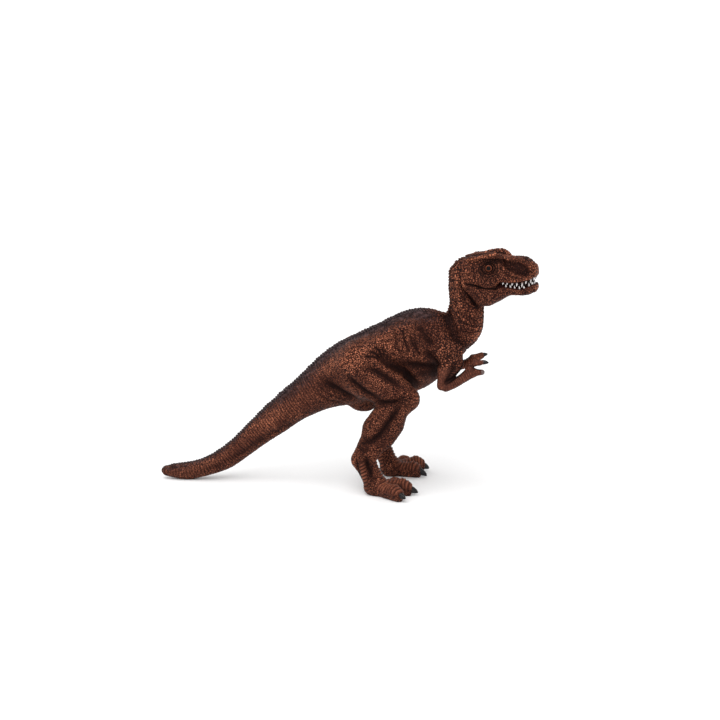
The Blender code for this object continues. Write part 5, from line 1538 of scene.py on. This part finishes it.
# %% Bead group
beads, given, made = group(
    "beads", [("Vector", "Vector", None), ("Pitch", "Float", 0.00055)],
    [("Top", "Float"), ("Groove", "Float"), ("Tint", "Float")],
)
scaled = node(beads, "VectorMath", given["Vector"], operation="DIVIDE")
spread = node(beads, "CombineXYZ", given["Pitch"], given["Pitch"], given["Pitch"])
beads.links.new(spread.outputs[0], scaled.inputs[1])
drift = node(beads, "TexNoise", scaled.outputs[0], named={"Scale": 0.8, "Detail": 1.0})
shifted = node(beads, "VectorMath", drift.outputs["Color"], (1.1, 1.1, 1.1), scaled.outputs[0],
               operation="MULTIPLY_ADD")
round_cell = node(beads, "TexVoronoi", shifted.outputs[0], named={"Scale": 1.0}, feature="F1")
edge_cell = node(beads, "TexVoronoi", shifted.outputs[0], named={"Scale": 1.0}, feature="DISTANCE_TO_EDGE")
beads.links.new(mapped(beads, edge_cell.outputs["Distance"], 0.08, 0.28), made["Top"])
beads.links.new(mapped(beads, edge_cell.outputs["Distance"], 0.17, 0.02), made["Groove"])
tone = node(beads, "SeparateColor", round_cell.outputs["Color"])
beads.links.new(tone.outputs[0], made["Tint"])

# %% [markdown]
# ## Three layers of paint
# The figure is cast in red brown. Copper is dry brushed over it and only touches the tops, a dark
# red stain fills the grooves between the beads, and thin black settles in every fold. Closed
# places, where little space over the skin is open, get painted shade. The masks on the mesh say
# where folds and ridges are, and the beads say the same at their own size.

# %% Paint group
paints, given, made = group(
    "paint_layers",
    [("Vector", "Vector", None), ("Base", "Color", (0.1, 0.04, 0.02, 1)),
     ("Stain", "Color", (0.018, 0.0038, 0.0022, 1)), ("Shade", "Color", (0.01, 0.005, 0.004, 1)),
     ("Brush", "Color", (0.3, 0.12, 0.07, 1)), ("Fine", "Float", 0.00052), ("Large", "Float", 0.00085),
     ("Coarse", "Float", 0.0), ("Grain", "Float", 1.0), ("Wash", "Float", 0.0), ("Open", "Float", 1.0),
     ("Ring", "Float", 0.0), ("Warm", "Float", 0.0)],
    [("Color", "Color"), ("Roughness", "Float"), ("Height", "Float")],
)
small = node(paints, "Group", node_tree=beads, named={"Vector": given["Vector"], "Pitch": given["Fine"]})
large = node(paints, "Group", node_tree=beads, named={"Vector": given["Vector"], "Pitch": given["Large"]})


def either(label):
    """The small or the large beads' value, by the mesh's coarse mask."""
    low, high = small.outputs[label], large.outputs[label]
    return maths(paints, "MULTIPLY_ADD", maths(paints, "SUBTRACT", high, low), given["Coarse"], low)


top, groove, tint = either("Top"), either("Groove"), either("Tint")
patches = node(paints, "TexNoise", given["Vector"],
               named={"Scale": 190.0, "Detail": 3.0, "Roughness": 0.6}).outputs["Fac"]
fine = node(paints, "TexNoise", given["Vector"], named={"Scale": 5200.0, "Detail": 2.0}).outputs["Fac"]
# the first coat varies from bead to bead
coat_share = maths(paints, "MULTIPLY_ADD", tint, 0.5, 0.74)
coat = node(paints, "VectorMath", given["Base"], operation="SCALE", named={"Scale": coat_share}).outputs[0]
# copper touches tops and ridges, more in some places than in others
plain = maths(paints, "MULTIPLY_ADD", maths(paints, "SUBTRACT", top, 0.3), given["Grain"], 0.3)
ridge = mapped(paints, given["Ring"], 0.0, 1.0, 0.0, 0.75)
amount = maths(paints, "MAXIMUM", plain, ridge)
less_coarse = maths(paints, "MULTIPLY_ADD", given["Coarse"], -0.20, 0.62)
uneven = maths(paints, "MULTIPLY_ADD", tint, 0.55, less_coarse)
patchy = mapped(paints, patches, 0.34, 0.68, 0.26, 0.70)
place = maths(paints, "MULTIPLY_ADD", given["Warm"], 0.55, patchy)
amount = maths(paints, "MULTIPLY", maths(paints, "MULTIPLY", amount, uneven), place)
amount = maths(paints, "MULTIPLY", amount, maths(paints, "SUBTRACT", 1.0, given["Wash"]), clamp=True)
lit = blend_colour(paints, amount, coat, given["Brush"])
# the stain lies between the beads, the black wash in furrows and folds, and painted shade in closed places
low = maths(paints, "MULTIPLY", groove, given["Grain"])
trough = mapped(paints, given["Ring"], 0.1, -0.9, 0.0, 0.75)
# painted shade: darker where less of the space over the skin is open
closed = mapped(paints, given["Open"], 0.92, 0.35, 0.0, 0.85)
stained = blend_colour(paints, low, lit, given["Stain"])
total = maths(paints, "MAXIMUM", trough, closed)
total = maths(paints, "ADD", total, maths(paints, "MULTIPLY", given["Wash"], 0.85), clamp=True)
paints.links.new(blend_colour(paints, total, stained, given["Shade"]), made["Color"])
sheen = maths(paints, "ADD", fine, maths(paints, "MULTIPLY", total, 0.3))
paints.links.new(mapped(paints, sheen, 0.3, 1.0, 0.44, 0.68), made["Roughness"])
dome = maths(paints, "MULTIPLY", maths(paints, "SUBTRACT", top, groove), given["Grain"])
paints.links.new(maths(paints, "MULTIPLY_ADD", fine, 0.4, dome), made["Height"])
print("nodes in the paint group:", len(paints.nodes))

# %% [markdown]
# ## The hides
# Each moulding's finish feeds its own masks to the paint group. Slate is painted over the back and
# a dark red inside the mouth. Faces turned down under the chest get a paler tone, painted light
# bounced up from the floor.

# %% Paint helpers
def attribute(tree, label):
    return node(tree, "Attribute", attribute_name=label).outputs["Fac"]


def speckle(tree, scale, detail=2.0):
    """The object's places, and a noise over them."""
    place = node(tree, "TexCoord").outputs["Object"]
    return place, node(tree, "TexNoise", place, named={"Scale": scale, "Detail": detail}).outputs["Fac"]


def lay(tree, shader, colour, roughness):
    """Links a finish's colour and roughness to its shader."""
    tree.links.new(colour, shader.inputs["Base Color"])
    tree.links.new(roughness, shader.inputs["Roughness"])


def emboss(tree, shader, height, strength, distance):
    """A bump: the height's value times the distance in metres."""
    bump = node(tree, "Bump", named={"Height": height, "Strength": strength, "Distance": distance})
    tree.links.new(bump.outputs[0], shader.inputs["Normal"])


# %% Hide materials
BASE, BRUSH = (0.0560, 0.0135, 0.0082, 1), (0.52, 0.174, 0.092, 1)
STAIN, SHADE = (0.0088, 0.0014, 0.0009, 1), (0.0070, 0.0014, 0.0009, 1)
ARM_BASE, HEAD_BASE = (0.0505, 0.0142, 0.0093, 1), (0.0555, 0.0132, 0.0081, 1)
JAW_BASE = (0.0545, 0.0137, 0.0085, 1)
BELLY_BOUNCE_TONE, MOUTH_TONE = (0.10, 0.042, 0.034, 1), (0.03, 0.006, 0.005, 1)
SLATE_DARK, SLATE_LIGHT = (0.013, 0.0075, 0.0085, 1), (0.090, 0.054, 0.055, 1)
BELLY_BOUNCE_COVER, SLATE_COVER = 0.25, 0.85
FINE_BEAD, JAW_BEAD, HEAD_BEAD, LARGE_BEAD = 0.00053, 0.00056, 0.00058, 0.00074
MASKS = ("Coarse", "Grain", "Wash", "Open", "Ring", "Warm")


def hide_material(name, base, fine=FINE_BEAD, mouth=False, back=False, belly_bounce=False):
    """A painted hide. The mesh's masks feed the paint group, and the special areas are painted over it."""
    made, tree, shader = material(name)
    place, mottle = speckle(tree, 900.0)
    layers = node(tree, "Group", node_tree=paints, named={
        "Vector": place, "Base": base, "Stain": STAIN, "Shade": SHADE, "Brush": BRUSH, "Fine": fine,
        "Large": LARGE_BEAD, **{label: attribute(tree, label.lower()) for label in MASKS}})
    colour = layers.outputs["Color"]
    # painted bounce light on the faces turned down under the chest
    if belly_bounce:
        share = maths(tree, "MULTIPLY", attribute(tree, "belly_bounce"), BELLY_BOUNCE_COVER)
        colour = blend_colour(tree, share, colour, BELLY_BOUNCE_TONE)
    if back:
        slate = blend_colour(tree, mapped(tree, mottle, 0.4, 0.7), SLATE_DARK, SLATE_LIGHT)
        share = maths(tree, "MULTIPLY", attribute(tree, "back"), SLATE_COVER)
        colour = blend_colour(tree, share, colour, slate)
    if mouth:
        colour = blend_colour(tree, attribute(tree, "mouth"), colour, MOUTH_TONE)
    lay(tree, shader, colour, layers.outputs["Roughness"])
    emboss(tree, shader, layers.outputs["Height"], 0.9, 0.00012)
    shader.inputs["Specular IOR Level"].default_value = 0.09
    return made


finishes = {
    "torso": hide_material("body_paint", BASE, back=True, belly_bounce=True),
    "tail": hide_material("tail_paint", BASE, back=True),
    "leg_right": hide_material("leg_paint", BASE),
    "arm_right": hide_material("arm_paint", ARM_BASE),
    "head": hide_material("head_paint", HEAD_BASE, HEAD_BEAD, mouth=True, back=True),
    "lower_jaw": hide_material("jaw_paint", JAW_BASE, JAW_BEAD, mouth=True),
}
finishes["leg_left"], finishes["arm_left"] = finishes["leg_right"], finishes["arm_right"]
print("hide finishes:", sorted({made.name for made in finishes.values()}))

# %% [markdown]
# ## Gloss and bone
# Claws and eyes are gloss paint, the teeth are pearly white, and the gums a dark wet red. Each
# finish varies a little with a fine noise, as brushed enamel does.

# %% Claw paint
claw_paint, tree, shader = material("claw_paint")
_, streaks = speckle(tree, 1500.0)
streaky = mapped(tree, streaks, 0.35, 0.75)
dark = blend_colour(tree, streaky, (0.004, 0.004, 0.005, 1), (0.016, 0.012, 0.011, 1))
dark = blend_colour(tree, attribute(tree, "pale"), dark, (0.11, 0.075, 0.07, 1))
root_share = mapped(tree, attribute(tree, "along"), 0.30, 0.1)
dark = blend_colour(tree, root_share, dark, (0.06, 0.02, 0.013, 1))
lay(tree, shader, dark, mapped(tree, streaks, 0.3, 0.8, 0.2, 0.34))
shader.inputs["Specular IOR Level"].default_value = 0.22
emboss(tree, shader, streaks, 0.3, 0.00005)
print("claw paint:", len(tree.nodes), "nodes")

# %% Tooth and gum paint
tooth_paint, tree, shader = material("tooth_paint")
_, cloud = speckle(tree, 1200.0)
white = blend_colour(tree, mapped(tree, cloud, 0.3, 0.7), (0.78, 0.74, 0.72, 1), (0.50, 0.45, 0.44, 1))
root_share = mapped(tree, attribute(tree, "along"), 0.5, 0.18)
white = blend_colour(tree, root_share, white, (0.10, 0.035, 0.025, 1))
lay(tree, shader, white, mapped(tree, cloud, 0.3, 0.7, 0.18, 0.3))

gum_paint, tree, shader = material("gum_paint")
_, cloud = speckle(tree, 700.0, 3.0)
wet_red = blend_colour(tree, cloud, (0.003, 0.0015, 0.0015, 1), (0.022, 0.005, 0.004, 1))
lay(tree, shader, wet_red, mapped(tree, cloud, 0.3, 0.7, 0.35, 0.5))
shader.inputs["Specular IOR Level"].default_value = 0.1
print("gum paint:", len(tree.nodes), "nodes")

# %% Eye paint
eye_paint, tree, shader = material("eye_paint")
away = attribute(tree, "away")
_, fleck = speckle(tree, 4500.0)
amber = blend_colour(tree, mapped(tree, fleck, 0.3, 0.7), (0.19, 0.046, 0.018, 1), (0.09, 0.022, 0.011, 1))
iris = blend_colour(tree, mapped(tree, away, 0.66, 0.76), (0.003, 0.003, 0.003, 1), amber)
rimmed = blend_colour(tree, mapped(tree, away, 0.94, 1.05), iris, (0.006, 0.004, 0.004, 1))
lay(tree, shader, rimmed, mapped(tree, fleck, 0.3, 0.7, 0.05, 0.12))
shader.inputs["Specular IOR Level"].default_value = 0.07
print("eye paint:", len(tree.nodes), "nodes")

# %% Crest paint
crest_paint, tree, shader = material("crest_paint")
_, fleck = speckle(tree, 1400.0, 3.0)
brown = attribute(tree, "brown")
flecked = mapped(tree, fleck, 0.35, 0.7)
slate = blend_colour(tree, flecked, (0.016, 0.011, 0.0125, 1), (0.062, 0.042, 0.045, 1))
slate = blend_colour(tree, brown, slate, (0.06, 0.022, 0.015, 1))
tip_colour = blend_colour(tree, brown, (0.12, 0.085, 0.08, 1), (0.30, 0.11, 0.065, 1))
tall = mapped(tree, attribute(tree, "height"), 0.45, 1.0)
tips = maths(tree, "MULTIPLY", tall, mapped(tree, fleck, 0.3, 0.7, 0.15, 0.8))
lay(tree, shader, blend_colour(tree, tips, slate, tip_colour), mapped(tree, fleck, 0.3, 0.7, 0.5, 0.7))
shader.inputs["Specular IOR Level"].default_value = 0.09
emboss(tree, shader, fleck, 0.4, 0.00006)
print("crest paint:", len(tree.nodes), "nodes")

# %% [markdown]
# ## Putting it together
# Each hide moulding stands for its CAD solid, and the small pieces go on the same rigid body.

# %% Slots and bodies
for part, made in pieces.items():
    made.data.materials.append(finishes[part])
    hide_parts(part)
for made, finish in ((claw_piece, claw_paint), (tooth_piece, tooth_paint), (gum_piece, gum_paint),
                     (eye_piece, eye_paint), (crest_piece, crest_paint)):
    made.data.materials.append(finish)
for made in root_pieces:
    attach(made, "root")
print("pieces on the body:", len(root_pieces))

# %% [markdown]
# ## Floor, light and camera
# The photograph is a cut-out on white: a pale floor, one large soft light above and a white room.

# %% Floor
floor_mesh = bpy.data.meshes.new("floor")
floor_mesh.from_pydata([(-4, -4, 0), (4, -4, 0), (4, 12, 0), (-4, 12, 0)], [], [(0, 1, 2, 3)])
floor = bpy.data.objects.new("floor", floor_mesh)
bpy.context.scene.collection.objects.link(floor)
paper, tree, shader = material("paper")
_, grain = speckle(tree, 900.0)
white = blend_colour(tree, grain, (0.90, 0.90, 0.90, 1), (0.94, 0.94, 0.94, 1))
tree.links.new(white, shader.inputs["Base Color"])
shader.inputs["Roughness"].default_value = 0.9
shader.inputs["Specular IOR Level"].default_value = 0.0
floor_mesh.materials.append(paper)

world = bpy.data.worlds.new("studio")
world.use_nodes = True
sky = world.node_tree.nodes["Background"].inputs
sky["Color"].default_value, sky["Strength"].default_value = (1, 1, 1, 1), 0.95
bpy.context.scene.world = world
print("floor:", len(floor_mesh.vertices), "corners")


# %% Lights
SKY_POWER, SKY_SPREAD, BOX_POWER, BOX_SIZE = 1.15, math.radians(60), 0.7, 0.25


def lamp(name, kind, place, aim, power):
    """A lamp of this kind, aimed at a point."""
    data = bpy.data.lights.new(name, kind)
    data.energy = power
    made = bpy.data.objects.new(name, data)
    made.location = place
    direction = Vector(aim) - Vector(place)
    made.rotation_euler = direction.to_track_quat("-Z", "Y").to_euler()
    bpy.context.scene.collection.objects.link(made)
    return data


lamp("sky_panel", "SUN", (-0.25, -0.45, 1.0), (0.0, 0.0, 0.0), SKY_POWER).angle = SKY_SPREAD
lamp("soft_box", "AREA", (0.05, -0.45, 0.45), (0.0, 0.0, 0.04), BOX_POWER).size = BOX_SIZE
print("lamps:", len(bpy.data.lights))

# %% [markdown]
# ## The camera
# Its place was worked out from the feet, from the head's turn and from the shift between the near
# and the far foot. The lens is its sensor times its distance, over the width that the frame spans.

# %% Camera
CAMERA_AWAY, FRAME_PIXELS, PIXELS_PER_MM, SENSOR = 700, 720, 3.16, 36
camera_data = bpy.data.cameras.new("camera")
camera_data.sensor_width = SENSOR
camera_data.lens = SENSOR * CAMERA_AWAY / (FRAME_PIXELS / PIXELS_PER_MM)
camera_data.clip_start, camera_data.clip_end = 0.05, 40
camera = bpy.data.objects.new("camera", camera_data)
azimuth, elevation = math.radians(8), math.radians(13)
target = np.array([3.74, 0, 40.0])
look = np.array([-math.sin(azimuth) * math.cos(elevation), math.cos(azimuth) * math.cos(elevation),
                 -math.sin(elevation)])
camera.location = (target - CAMERA_AWAY * look) * MM
camera.rotation_euler = (math.pi / 2 - elevation, 0, azimuth)
bpy.context.scene.collection.objects.link(camera)
bpy.context.scene.camera = camera
bpy.context.scene.view_settings.view_transform = "Standard"
print("lens, mm:", round(camera_data.lens, 1))

# %% Update the scene
bpy.context.view_layer.update()
